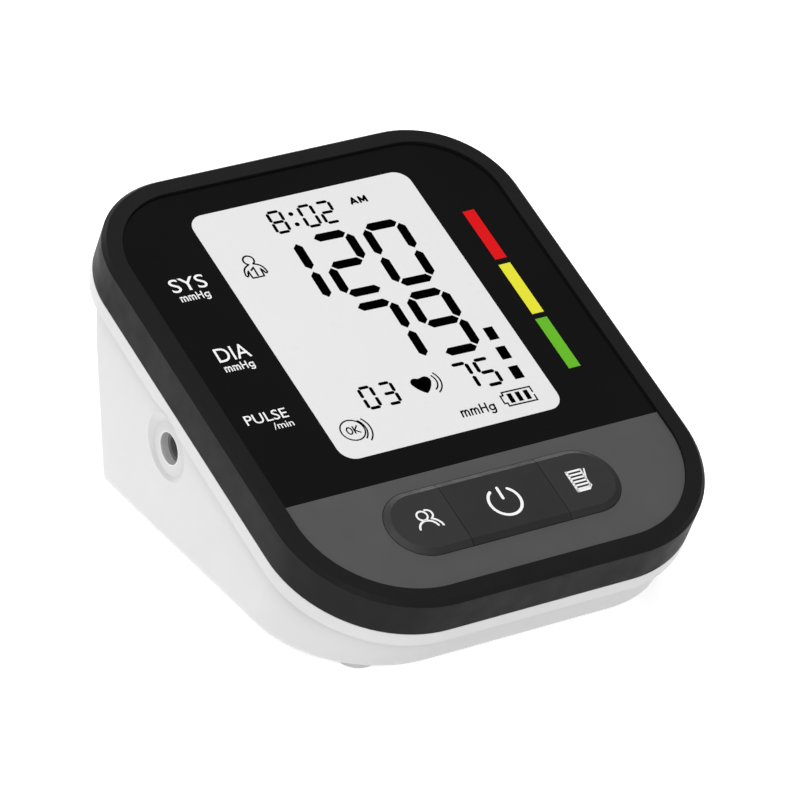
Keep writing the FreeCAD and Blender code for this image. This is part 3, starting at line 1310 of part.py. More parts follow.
make_front_cover()
make_lens()
make_key_panel()
for key_name, key_side in KEYS.items():
    make_key(key_name, key_side)
    make_switch(key_name, key_side)
make_display()
make_main_board()
make_housing()
make_feet()
make_housing_screws()
port_mouth_x = make_air_port()
make_power_socket()
make_batteries()
make_pump()
make_valve()
make_air_line(port_mouth_x)
doc.recompute()

for thing in doc.Objects:
    if any(state in ("Invalid", "Error") for state in thing.State):
        raise RuntimeError(f"{thing.Name} failed: {thing.State}")
for label, thing in parts.items():
    if thing.Shape.isNull() or not thing.Shape.isValid():
        raise RuntimeError(f"{label} has no valid shape")

os.makedirs("parts", exist_ok=True)
whole = FreeCAD.BoundBox()
for label, thing in parts.items():
    thing.Shape.exportStep(f"parts/{label}.step")
    whole.add(thing.Shape.optimalBoundingBox(False, False))
    print(f"{label:18s} {len(thing.Shape.Solids)} solid(s) {thing.Shape.Volume:9.1f} mm3")
print(f"{len(parts)} sub-parts; X {whole.XMin:.2f} to {whole.XMax:.2f}, Y {whole.YMin:.2f} to "
      f"{whole.YMax:.2f}, Z {whole.ZMin:.2f} to {whole.ZMax:.2f}")
print(f"air port mouth at x {port_mouth_x:.3f}")
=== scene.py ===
import json
import math

import bmesh
import bpy
from mathutils import Matrix, Vector


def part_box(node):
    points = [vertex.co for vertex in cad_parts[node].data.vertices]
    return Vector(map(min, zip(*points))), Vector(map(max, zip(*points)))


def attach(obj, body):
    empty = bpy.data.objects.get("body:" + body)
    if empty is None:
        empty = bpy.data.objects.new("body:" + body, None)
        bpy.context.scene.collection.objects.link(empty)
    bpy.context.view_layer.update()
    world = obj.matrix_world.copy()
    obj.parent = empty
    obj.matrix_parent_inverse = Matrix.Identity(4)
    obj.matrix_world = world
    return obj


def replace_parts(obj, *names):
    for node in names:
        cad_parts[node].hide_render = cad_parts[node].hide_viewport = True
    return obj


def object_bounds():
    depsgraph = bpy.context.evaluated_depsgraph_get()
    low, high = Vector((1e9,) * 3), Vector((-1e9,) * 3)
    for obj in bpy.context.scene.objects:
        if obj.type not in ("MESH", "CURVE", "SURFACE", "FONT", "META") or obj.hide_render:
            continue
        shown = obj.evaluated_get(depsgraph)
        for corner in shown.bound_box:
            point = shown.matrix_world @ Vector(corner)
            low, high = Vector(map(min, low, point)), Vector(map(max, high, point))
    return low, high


# Looks of the upper arm blood pressure monitor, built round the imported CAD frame.
#
# Lengths are in millimetres and MM turns them into Blender's metres. What lies on the tilted face is
# laid out in the face frame: x to the right, v up the face, n out of it, with its origin in the
# middle of the panels' front surface.

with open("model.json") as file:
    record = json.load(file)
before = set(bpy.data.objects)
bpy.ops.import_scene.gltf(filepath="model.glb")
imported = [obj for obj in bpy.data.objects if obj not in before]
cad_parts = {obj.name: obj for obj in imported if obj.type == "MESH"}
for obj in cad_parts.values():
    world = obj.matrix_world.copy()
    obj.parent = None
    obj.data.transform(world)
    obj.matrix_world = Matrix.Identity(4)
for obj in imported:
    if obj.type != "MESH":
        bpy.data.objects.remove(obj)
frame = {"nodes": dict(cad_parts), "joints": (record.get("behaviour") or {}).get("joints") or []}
NODES = frame["nodes"]
cad_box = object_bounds()
MM = 0.001


# ---------------------------------------------------------------- the face frame

def extent(node, axis):
    """The lowest and highest place of a CAD node along an axis."""
    places = [vertex.co.dot(axis) for vertex in NODES[node].data.vertices]
    return min(places), max(places)


key_joint = next(j for j in frame["joints"] if j["name"] == "user_key_press")
NORMAL = -Vector(key_joint["axis"]).normalized()
RIGHT = Vector((1, 0, 0))
UPHILL = NORMAL.cross(RIGHT)
panel_top = extent("display_lens", UPHILL)[1]
panel_bottom = extent("key_panel", UPHILL)[0]
panel_front = extent("display_lens", NORMAL)[1]
FACE_MIDDLE = UPHILL * (panel_top + panel_bottom) / 2 + NORMAL * panel_front
FACE = Matrix.Translation(FACE_MIDDLE) @ Matrix((RIGHT, UPHILL, NORMAL)).transposed().to_4x4()


# ---------------------------------------------------------------- finishes

def node_of(tree, kind, **inputs):
    """A shader node with its plain inputs set."""
    node = tree.nodes.new(kind)
    for name, value in inputs.items():
        node.inputs[name.replace("_", " ")].default_value = value
    return node


def shaded(colour, factor):
    return [min(1.0, part * factor) for part in colour] + [1.0]


def grey(level):
    return [level, level, level, 1]


ROUGHNESS_SPREAD = 0.12   # of the roughness
ROUGHNESS_PATCH = 0.4     # of the size of the patches of colour
CLOSENESS_SAMPLES = 6


class Finish:
    """A moulded, printed or metal surface. Its colour and roughness drift a little between patches, and a
    fine grain raises it."""

    def __init__(self, name, colour, roughness, drift=0.05, patch=12.0, grain=0.35, depth=0.004, **shader):
        self.material = bpy.data.materials.new(name)
        self.material.use_nodes = True
        self.tree = self.material.node_tree
        self.shader = self.tree.nodes["Principled BSDF"]
        for socket, value in shader.items():
            self.shader.inputs[socket.replace("_", " ")].default_value = value
        self.places = self.tree.nodes.new("ShaderNodeTexCoord").outputs["Object"]
        self.colour = self.drifting_colour(colour, drift, patch)
        self.drifting_roughness(roughness, patch)
        if depth:
            self.grain(grain, depth)

    def link(self, start, end):
        self.tree.links.new(start, end)

    def noise(self, size, detail=2.0, places=None):
        """Noise whose patches are about size mm across, from 0 to 1."""
        noise = node_of(self.tree, "ShaderNodeTexNoise", Scale=1 / (size * MM), Detail=detail)
        self.link(places or self.places, noise.inputs["Vector"])
        return noise.outputs["Fac"]

    def ranged(self, value, low, high, start=0.3, end=0.7):
        """A value from start to end turned into one from low to high."""
        node = self.tree.nodes.new("ShaderNodeMapRange")
        for socket, number in zip(("From Min", "From Max", "To Min", "To Max"), (start, end, low, high)):
            node.inputs[socket].default_value = number
        self.link(value, node.inputs["Value"])
        return node.outputs["Result"]

    def mixed(self, factor, first, second):
        """Two colours mixed by a factor. A colour is a list of four numbers or another node's output."""
        node = self.tree.nodes.new("ShaderNodeMix")
        node.data_type = "RGBA"
        self.link(factor, node.inputs["Factor"])
        for socket, colour in ((node.inputs[6], first), (node.inputs[7], second)):
            if isinstance(colour, bpy.types.NodeSocket):
                self.link(colour, socket)
            else:
                socket.default_value = colour
        return node.outputs[2]

    def paint(self, colour):
        self.colour = colour
        self.link(colour, self.shader.inputs["Base Color"])

    def drifting_colour(self, colour, drift, patch):
        factor = self.ranged(self.noise(patch), 0, 1)
        mixed = self.mixed(factor, shaded(colour, 1 - drift), shaded(colour, 1 + drift))
        self.link(mixed, self.shader.inputs["Base Color"])
        return mixed

    def drifting_roughness(self, roughness, patch):
        spread = ROUGHNESS_SPREAD * roughness
        patches = self.noise(patch * ROUGHNESS_PATCH, 3.0)
        value = self.ranged(patches, roughness - spread, roughness + spread)
        self.link(value, self.shader.inputs["Roughness"])

    def grain(self, size, depth):
        self.raise_by(self.noise(size, 1.0), depth)

    def raise_by(self, height, depth):
        """Bump from a height of 0 to 1, depth mm deep."""
        bump = node_of(self.tree, "ShaderNodeBump", Strength=1.0, Distance=depth * MM)
        self.link(height, bump.inputs["Height"])
        self.link(bump.outputs["Normal"], self.shader.inputs["Normal"])

    def stretched(self, scale):
        """Object coordinates squeezed by scale along X, Y and Z."""
        node = self.tree.nodes.new("ShaderNodeMapping")
        node.inputs["Scale"].default_value = scale
        self.link(self.places, node.inputs["Vector"])
        return node.outputs["Vector"]

    def closeness(self, reach, inside=False):
        """How open a point is within reach mm: near 0 deep in a corner, 1 out in the open. Measured inside
        the piece, it is low along outer edges."""
        node = node_of(self.tree, "ShaderNodeAmbientOcclusion", Distance=reach * MM)
        node.inside, node.samples, node.only_local = inside, CLOSENESS_SAMPLES, True
        return node.outputs["AO"]


def moulded_white_with_painted_light():
    """Bright moulded white with painted light: painted shade greys it softly in the recesses, and a painted
    highlight makes it lightest along its outer edges.
    """
    painted_highlight_width, painted_highlight_strength, painted_shade_reach, painted_shade_grey = 0.5, 0.95, 8, 0.32
    white = Finish("white_abs", (0.6, 0.6, 0.6), 0.32, drift=0.012, depth=0.002)
    # painted highlight: the colour is lightened towards white along the outer edges
    edge = white.ranged(white.closeness(painted_highlight_width, inside=True), painted_highlight_strength, 0, 0.5, 0.8)
    white.paint(white.mixed(edge, white.colour, grey(1)))
    # painted shade: the colour is greyed where the surface lies in a recess or under an overhang
    painted_shade_mask = white.ranged(white.closeness(painted_shade_reach), 1, 0, 0.55, 1)
    white.paint(white.mixed(painted_shade_mask, white.colour, grey(painted_shade_grey)))
    return white


def brushed(name, colour, roughness, scale, depth=0.003):
    """Drawn or rolled metal with fine lines along the axis that scale squeezes."""
    line_width = 0.2
    metal = Finish(name, colour, roughness, drift=0.08, depth=0, Metallic=1.0)
    lines = metal.noise(line_width, 3.0, metal.stretched(scale))
    metal.raise_by(lines, depth)
    metal.paint(metal.mixed(metal.ranged(lines, 0, 1), shaded(colour, 0.85), shaded(colour, 1.1)))
    return metal


def board_finish():
    """Green solder mask with a grid of copper tracks showing through it."""
    length, pitch, width, thickness = 9, 1.6, 0.22, 0.03
    board = Finish("circuit_board", (0.008, 0.075, 0.03), 0.35, depth=0, Coat_Weight=0.3)
    tracks = node_of(board.tree, "ShaderNodeTexBrick", Scale=1.0)
    for socket, value in (("Brick Width", length), ("Row Height", pitch), ("Mortar Size", width)):
        tracks.inputs[socket].default_value = value * MM
    board.link(board.places, tracks.inputs["Vector"])
    board.paint(board.mixed(tracks.outputs["Fac"], board.colour, [0.02, 0.14, 0.05, 1]))
    board.raise_by(tracks.outputs["Fac"], thickness)
    return board


def wound_finish():
    """Enamelled copper wire, wound round the row frame's X axis."""
    pitch, height = 2.2, 0.12
    coil = Finish("copper_coil", (0.62, 0.24, 0.09), 0.3, depth=0, Metallic=1.0)
    wave = node_of(coil.tree, "ShaderNodeTexWave", Scale=1 / (pitch * MM), Distortion=0.3)
    coil.link(coil.places, wave.inputs["Vector"])
    coil.paint(coil.mixed(wave.outputs["Fac"], [0.25, 0.07, 0.02, 1], coil.colour))
    coil.raise_by(wave.outputs["Fac"], height)
    return coil


def screen_finish():
    """The light grey face of a reflective liquid crystal display, with the faint weave of its polariser."""
    thread, lighter_thread, weave_height = 0.3, 0.775, 0.0004
    screen = Finish("screen", (0.765, 0.765, 0.765), 0.3, drift=0.006, patch=25, depth=0,
                    Specular_IOR_Level=0.15)
    weave = screen.noise(thread, 2.0, screen.stretched((1, 0.2, 0.2)))
    screen.paint(screen.mixed(screen.ranged(weave, 0, 1), screen.colour, grey(lighter_thread)))
    screen.raise_by(weave, weave_height)
    return screen


PAINTS = {
    # name: colour, roughness and how strongly it mirrors
    "print_white": ((0.9, 0.9, 0.9), 0.4, 0.15),
    "print_black": ((0.0004, 0.0004, 0.0004), 0.5, 0.0),
    "print_red": ((0.7, 0.003, 0.005), 0.35, 0.15),
    "print_yellow": ((0.76, 0.74, 0.035), 0.35, 0.15),
    "print_green": ((0.13, 0.46, 0.02), 0.35, 0.15),
}


def make_finishes():
    """Every material, by the name that the pieces below use."""
    made = {
        "black_abs": Finish("black_abs", (0.0082, 0.0082, 0.0083), 0.5, drift=0.03, patch=12, depth=0.001,
                            Specular_IOR_Level=0.1),
        "lens": Finish("lens", (0.0042, 0.0042, 0.0043), 0.16, drift=0.1, patch=30, depth=0.0006, grain=1.5,
                       Specular_IOR_Level=0.12),
        "black_print": Finish("black_print", (0.004, 0.004, 0.004), 0.5),
        "grey_panel": Finish("grey_panel", (0.078, 0.078, 0.079), 0.42, drift=0.03, depth=0.0015,
                             Specular_IOR_Level=0.25),
        "key_side": Finish("key_side", (0.024, 0.024, 0.0245), 0.5, drift=0.04, depth=0.002,
                           Specular_IOR_Level=0.25),
        "key_middle": Finish("key_middle", (0.019, 0.019, 0.0195), 0.5, drift=0.04, depth=0.002,
                             Specular_IOR_Level=0.25),
        "white_abs": moulded_white_with_painted_light(),
        "foot_rubber": Finish("foot_rubber", (0.55, 0.55, 0.55), 0.8, grain=0.25, depth=0.02),
        "port_plastic": Finish("port_plastic", (0.17, 0.17, 0.17), 0.35, depth=0.002),
        "foam": Finish("foam", (0.02, 0.02, 0.02), 0.95, grain=0.5, depth=0.12),
        "display_glass": Finish("display_glass", (0.45, 0.48, 0.46), 0.08, depth=0, Coat_Weight=0.5),
        "white_sheet": Finish("white_sheet", (0.8, 0.8, 0.78), 0.6),
        "silicone": Finish("silicone", (0.75, 0.76, 0.75), 0.35, depth=0.002, Subsurface_Weight=0.2,
                           Subsurface_Scale=0.002),
        "circuit_board": board_finish(),
        "black_epoxy": Finish("black_epoxy", (0.018, 0.018, 0.019), 0.45, grain=0.12, depth=0.006),
        "white_epoxy": Finish("white_epoxy", (0.7, 0.69, 0.66), 0.5, grain=0.12, depth=0.006),
        "capacitor_can": brushed("capacitor_can", (0.75, 0.76, 0.78), 0.28, (0.1, 1, 1)),
        "switch_case": brushed("switch_case", (0.6, 0.6, 0.6), 0.35, (0.1, 1, 1)),
        "screw_steel": brushed("screw_steel", (0.5, 0.51, 0.53), 0.3, (1, 1, 0.2)),
        "socket_steel": brushed("socket_steel", (0.55, 0.56, 0.58), 0.25, (1, 0.1, 1)),
        "contact_steel": brushed("contact_steel", (0.66, 0.65, 0.62), 0.22, (0.2, 1, 1)),
        "cell_wrap": Finish("cell_wrap", (0.012, 0.045, 0.16), 0.28, drift=0.05, depth=0.002, grain=2.0,
                            Coat_Weight=0.4),
        "cell_band": Finish("cell_band", (0.62, 0.63, 0.65), 0.3, drift=0.04, depth=0.002, Metallic=0.6),
        "pump_plastic": Finish("pump_plastic", (0.55, 0.56, 0.55), 0.42, depth=0.006),
        "motor_steel": brushed("motor_steel", (0.58, 0.58, 0.57), 0.3, (0.1, 1, 1)),
        "magnet": Finish("magnet", (0.03, 0.029, 0.028), 0.6, grain=0.1, depth=0.01),
        "rotor_steel": brushed("rotor_steel", (0.45, 0.44, 0.43), 0.35, (1, 0.1, 0.1)),
        "copper_coil": wound_finish(),
        "manifold_plastic": Finish("manifold_plastic", (0.03, 0.03, 0.032), 0.4, depth=0.006),
        "screen": screen_finish(),
    }
    for name, (colour, roughness, mirror) in PAINTS.items():
        made[name] = Finish(name, colour, roughness, drift=0.015, depth=0, Specular_IOR_Level=mirror)
    return {name: finish.material for name, finish in made.items()}


FINISH = make_finishes()
SLOT_FINISH = {"key_rubber": "key_side", "cell_jacket": "cell_wrap"}


def dress_cad():
    """Gives every CAD node the finish of its own material slot."""
    for name, node in NODES.items():
        for i, old in enumerate(node.data.materials):
            slot = old.name.split(".")[0] if name != "power_key" else "key_middle"
            node.data.materials[i] = FINISH[SLOT_FINISH.get(slot, slot)]


# ---------------------------------------------------------------- building pieces

def place(name, mesh, finishes, body, matrix=Matrix()):
    """Makes an object of a mesh, puts it where matrix says and lets it ride on a CAD body."""
    for finish in finishes:
        mesh.materials.append(FINISH[finish])
    piece = bpy.data.objects.new(name, mesh)
    bpy.context.scene.collection.objects.link(piece)
    piece.matrix_world = matrix
    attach(piece, body)
    return piece


def arc(x, y, radius, start, end, steps=24):
    """Points on an arc, with its angles in degrees."""
    angles = [math.radians(start + (end - start) * i / steps) for i in range(steps + 1)]
    return [(x + radius * math.cos(a), y + radius * math.sin(a)) for a in angles]


def arc_through(first, middle, last, steps=16):
    """Points on the arc through three points."""
    (ax, ay), (bx, by), (cx, cy) = first, middle, last
    turn = 2 * (ax * (by - cy) + bx * (cy - ay) + cx * (ay - by))
    a, b, c = ax * ax + ay * ay, bx * bx + by * by, cx * cx + cy * cy
    x = (a * (by - cy) + b * (cy - ay) + c * (ay - by)) / turn
    y = (a * (cx - bx) + b * (ax - cx) + c * (bx - ax)) / turn
    start, through, end = (math.degrees(math.atan2(q - y, p - x)) for p, q in (first, middle, last))
    if turn > 0:
        end += 360 * (end < start)
    else:
        end -= 360 * (end > start)
    return arc(x, y, math.hypot(ax - x, ay - y), start, end, steps)


def rectangle(left, bottom, right, top, radius=0.0):
    """An outline with its corners rounded, anticlockwise."""
    if not radius:
        return [(left, bottom), (right, bottom), (right, top), (left, top)]
    corners = [(right, bottom, -90), (right, top, 0), (left, top, 90), (left, bottom, 180)]
    middle_x, middle_y = (left + right) / 2, (bottom + top) / 2
    points = []
    for x, y, start in corners:
        inward_x, inward_y = math.copysign(radius, middle_x - x), math.copysign(radius, middle_y - y)
        points += arc(x + inward_x, y + inward_y, radius, start, start + 90, 10)
    return points


def stroke(points, width):
    """The outline of a line of that width with round ends, anticlockwise."""
    half = width / 2
    path = [Vector(point) for point in points]
    headings = [(end - start).normalized() for start, end in zip(path, path[1:])]
    left, right = [], []
    for i, point in enumerate(path):
        before, after = headings[max(i - 1, 0)], headings[min(i, len(headings) - 1)]
        middle = (before + after).normalized()
        side = Vector((-middle.y, middle.x)) * half / max(middle.dot(after), 0.6)
        left.append(tuple(point + side))
        right.append(tuple(point - side))

    def cap(point, heading):
        start = math.degrees(math.atan2(heading.y, heading.x)) - 90
        return arc(point.x, point.y, half, start, start + 180, 6)[1:-1]

    return right + cap(path[-1], headings[-1]) + left[::-1] + cap(path[0], -headings[0])


class Print:
    """Flat shapes on a surface, raised from low to high above it."""

    def __init__(self, low, high, x=0.0, y=0.0):
        self.mesh = bmesh.new()
        self.low, self.high = low * MM, high * MM
        self.x, self.y = x, y

    def ring(self, outline, height):
        return [self.mesh.verts.new(((x + self.x) * MM, (y + self.y) * MM, height)) for x, y in outline]

    def walls(self, low, high):
        for i, corner in enumerate(low):
            j = (i + 1) % len(low)
            self.mesh.faces.new((corner, low[j], high[j], high[i]))

    def area(self, outline):
        low, high = self.ring(outline, self.low), self.ring(outline, self.high)
        self.mesh.faces.new(high)
        self.mesh.faces.new(low[::-1])
        self.walls(low, high)

    def band(self, outer, inner):
        """The band between two closed outlines with equally many points."""
        rings = [[self.ring(line, height) for line in (outer, inner)] for height in (self.low, self.high)]
        (low_out, low_in), (high_out, high_in) = rings
        for i in range(len(low_out)):
            j = (i + 1) % len(low_out)
            self.mesh.faces.new((high_out[i], high_out[j], high_in[j], high_in[i]))
            self.mesh.faces.new((low_in[i], low_in[j], low_out[j], low_out[i]))
            self.mesh.faces.new((low_out[i], low_out[j], high_out[j], high_out[i]))
            self.mesh.faces.new((low_in[j], low_in[i], high_in[i], high_in[j]))

    def line(self, points, width):
        self.area(stroke(points, width))

    def circle(self, x, y, radius, width, steps=48):
        outer = arc(x, y, radius + width / 2, 0, 360, steps)[:-1]
        inner = arc(x, y, radius - width / 2, 0, 360, steps)[:-1]
        self.band(outer, inner)

    def place(self, name, finish, body="housing", slot=None, matrix=FACE):
        mesh = bpy.data.meshes.new(name)
        self.mesh.to_mesh(mesh)
        self.mesh.free()
        return place(name, mesh, [finish], body, matrix)


LETTER_WEIGHT = 0.003   # added to the strokes of the built-in font, which is about 1 high


def letters(name, text, width, cap, finish, matrix, low, high):
    """A word, width wide from its left end and with capitals cap high, raised from low to high."""
    def outline(words):
        curve = bpy.data.curves.new(name, "FONT")
        curve.body, curve.offset = words, LETTER_WEIGHT
        curve.extrude = 0.5
        curve.resolution_u = 4
        probe = bpy.data.objects.new(name, curve)
        mesh = bpy.data.meshes.new_from_object(probe)
        bpy.data.objects.remove(probe)
        return mesh

    def span(mesh, i):
        places = [vertex.co[i] for vertex in mesh.vertices]
        return min(places), max(places)

    mesh = outline(text)
    left, right = span(mesh, 0)
    bottom, top = span(outline("H"), 1)
    across, up = width / (right - left), cap / (top - bottom)
    for vertex in mesh.vertices:
        x, y, z = vertex.co
        height = high if z > 0 else low
        vertex.co = ((x - left) * across * MM, y * up * MM, height * MM)
    mesh.name = name
    return place(name, mesh, [finish], "housing", matrix)


UNIT_STROKES = [
    # mmHg in units of its capital's height
    ((0, 0), (0, 0.68)),
    ((0, 0.42), (0.08, 0.62), (0.22, 0.68), (0.36, 0.6), (0.4, 0.42), (0.4, 0)),
    ((0.4, 0.42), (0.48, 0.62), (0.62, 0.68), (0.76, 0.6), (0.8, 0.42), (0.8, 0)),
    ((1.13, 0), (1.13, 0.68)),
    ((1.13, 0.42), (1.21, 0.62), (1.35, 0.68), (1.49, 0.6), (1.53, 0.42), (1.53, 0)),
    ((1.53, 0.42), (1.61, 0.62), (1.75, 0.68), (1.89, 0.6), (1.93, 0.42), (1.93, 0)),
    ((2.3, 0), (2.3, 1)),
    ((2.95, 0), (2.95, 1)),
    ((2.3, 0.52), (2.95, 0.52)),
    arc(3.58, 0.35, 0.29, 20, 340, 12),
    ((3.87, 0.66), (3.87, -0.05), (3.79, -0.24), (3.6, -0.31), (3.36, -0.24)),
]
UNIT_LENGTH = 3.95


def unit_word(name, x, y, width, cap, thick, low, high, finish, matrix, slant=0.0):
    """The unit mmHg in round strokes, its left end and baseline at x, y."""
    ink = Print(low, high, x, y)
    across = (width - thick) / UNIT_LENGTH
    for points in UNIT_STROKES:
        ink.line([(thick / 2 + u * across + slant * v * cap, v * cap) for u, v in points], thick)
    ink.place(name, finish, matrix=matrix)


# ---------------------------------------------------------------- the display

WINDOW_WIDTH, WINDOW_LENGTH, WINDOW_CORNER = 59.95, 77.3, 4.0
WINDOW_MIDDLE = 15.7
SUNK = -0.02   # the underside of what lies on the lens and the keys, just inside their surface
SCREEN_TOP, INK_TOP = 0.03, 0.05
GLYPHS_AT = (1.3, 15.25)
GLYPHS_TURN = -1.45
GLYPHS = (FACE @ Matrix.Translation(Vector((*GLYPHS_AT, 0)) * MM)
          @ Matrix.Rotation(math.radians(GLYPHS_TURN), 4, "Z"))

LIT = {"0": "top left right low_left low_right bottom", "1": "right low_right",
       "2": "top right middle low_left bottom", "3": "top right middle low_right bottom",
       "5": "top left middle low_right bottom", "7": "top right low_right",
       "8": "top left right middle low_left low_right bottom",
       "9": "top left right middle low_right bottom"}


class Numerals:
    """Seven-bar numerals. half is half the distance between the upright bars, rise the distance between
    the rows, thick the thickness of a bar, point the length of its pointed ends, gap that between bars."""

    def __init__(self, half, rise, thick, point, gap):
        self.half, self.rise, self.thick, self.point, self.gap = half, rise, thick, point, gap

    def bar(self, x, y, length, upright):
        reach, square, side = length / 2, length / 2 - self.point, self.thick / 2
        outline = [(-reach, 0), (-square, -side), (square, -side),
                   (reach, 0), (square, side), (-square, side)]
        if upright:
            outline = [(-q, p) for p, q in outline]
        return [(p + x, q + y) for p, q in outline]

    def draw(self, ink, character, x, y):
        """Draws one numeral with its middle at x, y."""
        flat, tall = 2 * (self.half - self.gap), self.rise - 2 * self.gap
        bars = {"top": (0, self.rise, False), "middle": (0, 0, False), "bottom": (0, -self.rise, False)}
        for side, step in (("left", -self.half), ("right", self.half)):
            bars[side] = (step, self.rise / 2, True)
            bars["low_" + side] = (step, -self.rise / 2, True)
        for bar in LIT[character].split():
            across, up, upright = bars[bar]
            ink.area(self.bar(x + across, y + up, tall if upright else flat, upright))


LARGE = Numerals(4.65, 8.95, 2.4, 1.15, 0.4)
CLOCK = Numerals(1.66, 3.22, 0.82, 0.32, 0.17)
COUNT = Numerals(1.55, 3.08, 0.86, 0.32, 0.17)
RATE = Numerals(1.95, 3.87, 0.98, 0.38, 0.2)
READINGS = {
    # piece: numerals, height of their middle, and each character's place
    "reading_systolic": (LARGE, 15.93, {-14.6: "1", -0.62: "2", 13.42: "0"}),
    "reading_diastolic": (LARGE, -6.43, {-0.62: "7", 13.42: "9"}),
    "reading_clock": (CLOCK, 31.86, {-10.76: "8", -2.46: "0", 2.5: "2"}),
    "reading_count": (COUNT, -23.05, {-15.4: "0", -10.1: "3"}),
    "reading_pulse": (RATE, -23.2, {10.3: "7", 16.3: "5"}),
}
COLON_X, COLON_ROWS, COLON_RADIUS = -6.6, (33.45, 30.1), 0.62
MARKS_X, MARK_ROWS, MARK_HALF_WIDTH, MARK_HALF_HEIGHT = 23.03, (-12.75, -18.9, -25.1), 1.3, 1.95
SYMBOLS_AT = {
    # piece: its middle among the glyphs
    "user_symbol": (-23.6, 20.4),
    "heart_symbol": (-1.1, -22.85),
    "ok_symbol": (-23.95, -30.9),
    "battery_symbol": (19.65, -31.95),
    "clock_half": (11.8, 33.65),
}


def make_screen():
    half = WINDOW_WIDTH / 2
    low, high = WINDOW_MIDDLE - WINDOW_LENGTH / 2, WINDOW_MIDDLE + WINDOW_LENGTH / 2
    sheet = Print(SUNK, SCREEN_TOP)
    sheet.area(rectangle(-half, low, half, high, WINDOW_CORNER))
    sheet.place("display_screen", "screen", slot="display_glass")


def ink_at(x=0.0, y=0.0):
    """An empty print on the screen's face, with its origin at x, y among the glyphs."""
    return Print(SCREEN_TOP, INK_TOP, x, y)


def make_readings():
    for name, (numerals, y, characters) in READINGS.items():
        ink = ink_at()
        for x, character in characters.items():
            numerals.draw(ink, character, x, y)
        if numerals is CLOCK:
            for row in COLON_ROWS:
                ink.area(arc(COLON_X, row, COLON_RADIUS, 0, 360)[:-1])
        ink.place(name, "print_black", matrix=GLYPHS)


def make_level_marks():
    ink = ink_at(MARKS_X)
    for y in MARK_ROWS:
        ink.area(rectangle(-MARK_HALF_WIDTH, y - MARK_HALF_HEIGHT, MARK_HALF_WIDTH, y + MARK_HALF_HEIGHT))
    ink.place("level_marks", "print_black", matrix=GLYPHS)


def make_user_symbol():
    """A person's outline with a 1 on the chest."""
    head_line, body_line, number_line = 0.44, 0.42, 0.52
    ink = ink_at(*SYMBOLS_AT["user_symbol"])
    ink.line(arc(0, 2.2, 1.36, -62, 242), head_line)
    for side in (-1, 1):
        arm = [(0.6, 0.95), (1.3, 0.65), (2.0, 0.2), (2.5, -0.5), (2.74, -1.3), (2.82, -2.05), (2.55, -2.4),
               (2.2, -2.2), (2.0, -1.5), (1.62, -0.85)]
        side_of_body = [(1.62, -0.85), (1.6, -2.0), (1.5, -3.1), (0, -3.15)]
        for points in (arm, side_of_body):
            ink.line([(side * x, y) for x, y in points], body_line)
    ink.line([(-0.75, -0.75), (0.08, -0.1), (0.08, -2.6)], number_line)
    ink.place("user_symbol", "print_black", matrix=GLYPHS)


def make_heart():
    """A heart of two round lobes, and two arcs that beat beside it."""
    lobe, lobe_y, width, beat_line = 1.33, 0.98, 2.62, 0.38
    ink = ink_at(*SYMBOLS_AT["heart_symbol"])
    right = arc(width / 2, lobe_y, lobe, 130, -28, 14)
    flank = arc_through(right[-1], (1.7, -1.0), (0, -2.6), 8)[1:]
    half = right + flank
    ink.area(([(-x, y) for x, y in half] + half[::-1][1:])[:-1])
    for points in (((3.35, 2.0), (3.86, 0.15), (2.55, -2.0)), ((4.15, 2.65), (4.85, 0.1), (3.0, -2.95))):
        ink.line(arc_through(*points), beat_line)
    ink.place("heart_symbol", "print_black", matrix=GLYPHS)


def make_ok_symbol():
    """The letters OK in a circle, with two arcs beside it."""
    radius, thin, thick = 2.98, 0.36, 0.38
    ink = ink_at(*SYMBOLS_AT["ok_symbol"])
    ink.circle(-0.1, 0, radius, thin)
    for points in (((2.35, 2.3), (3.3, -0.25), (2.1, -2.95)), ((3.35, 2.6), (4.4, 0.1), (2.9, -3.75))):
        ink.line(arc_through(*points), thick)
    oval = [(0.62 * x - 0.95, y) for x, y in arc(0, 0, 1, 0, 360, 32)[:-1]]
    ink.band([(x * 1.3 + 0.3, y * 1.16) for x, y in oval], [(x * 0.75 - 0.22, y * 0.78) for x, y in oval])
    ink.line([(0.25, 1.0), (0.25, -1.0)], thick)
    ink.line([(1.35, 1.0), (0.35, -0.1), (1.5, -1.0)], thin)
    ink.place("ok_symbol", "print_black", matrix=GLYPHS)


def make_battery_symbol():
    """A cell's outline with its nub on the left and three bars inside."""
    nub, left, right, top, inner, outline = -4.22, -3.42, 4.2, 2.07, 1.14, 0.4
    bars, bar_half_width, bar_half_height = (-1.87, 0.33, 2.52), 0.6, 1.4
    ink = ink_at(*SYMBOLS_AT["battery_symbol"])
    upper = [(right, 0.5), (right, top), (left, top), (left, inner), (nub, inner), (nub, 0)]
    ink.line(upper + [(x, -y) for x, y in upper[::-1][1:]], outline)
    for x in bars:
        ink.area(rectangle(x - bar_half_width, -bar_half_height, x + bar_half_width, bar_half_height))
    ink.place("battery_symbol", "print_black", matrix=GLYPHS)


def make_clock_half():
    """The letters AM beside the clock."""
    letter_a = [((-2.05, -0.85), (-1.3, 0.85)), ((-1.3, 0.85), (-0.5, -0.85)), ((-1.75, -0.4), (-0.8, -0.4))]
    letter_m = [((0.4, -0.85), (0.42, 0.8)), ((0.42, 0.8), (1.25, -0.5)),
                ((1.25, -0.5), (2.0, 0.8)), ((2.0, 0.8), (2.08, -0.85))]
    thick = 0.58
    ink = ink_at(*SYMBOLS_AT["clock_half"])
    for points in letter_a + letter_m:
        ink.line(points, thick)
    ink.place("clock_half", "print_black", matrix=GLYPHS)


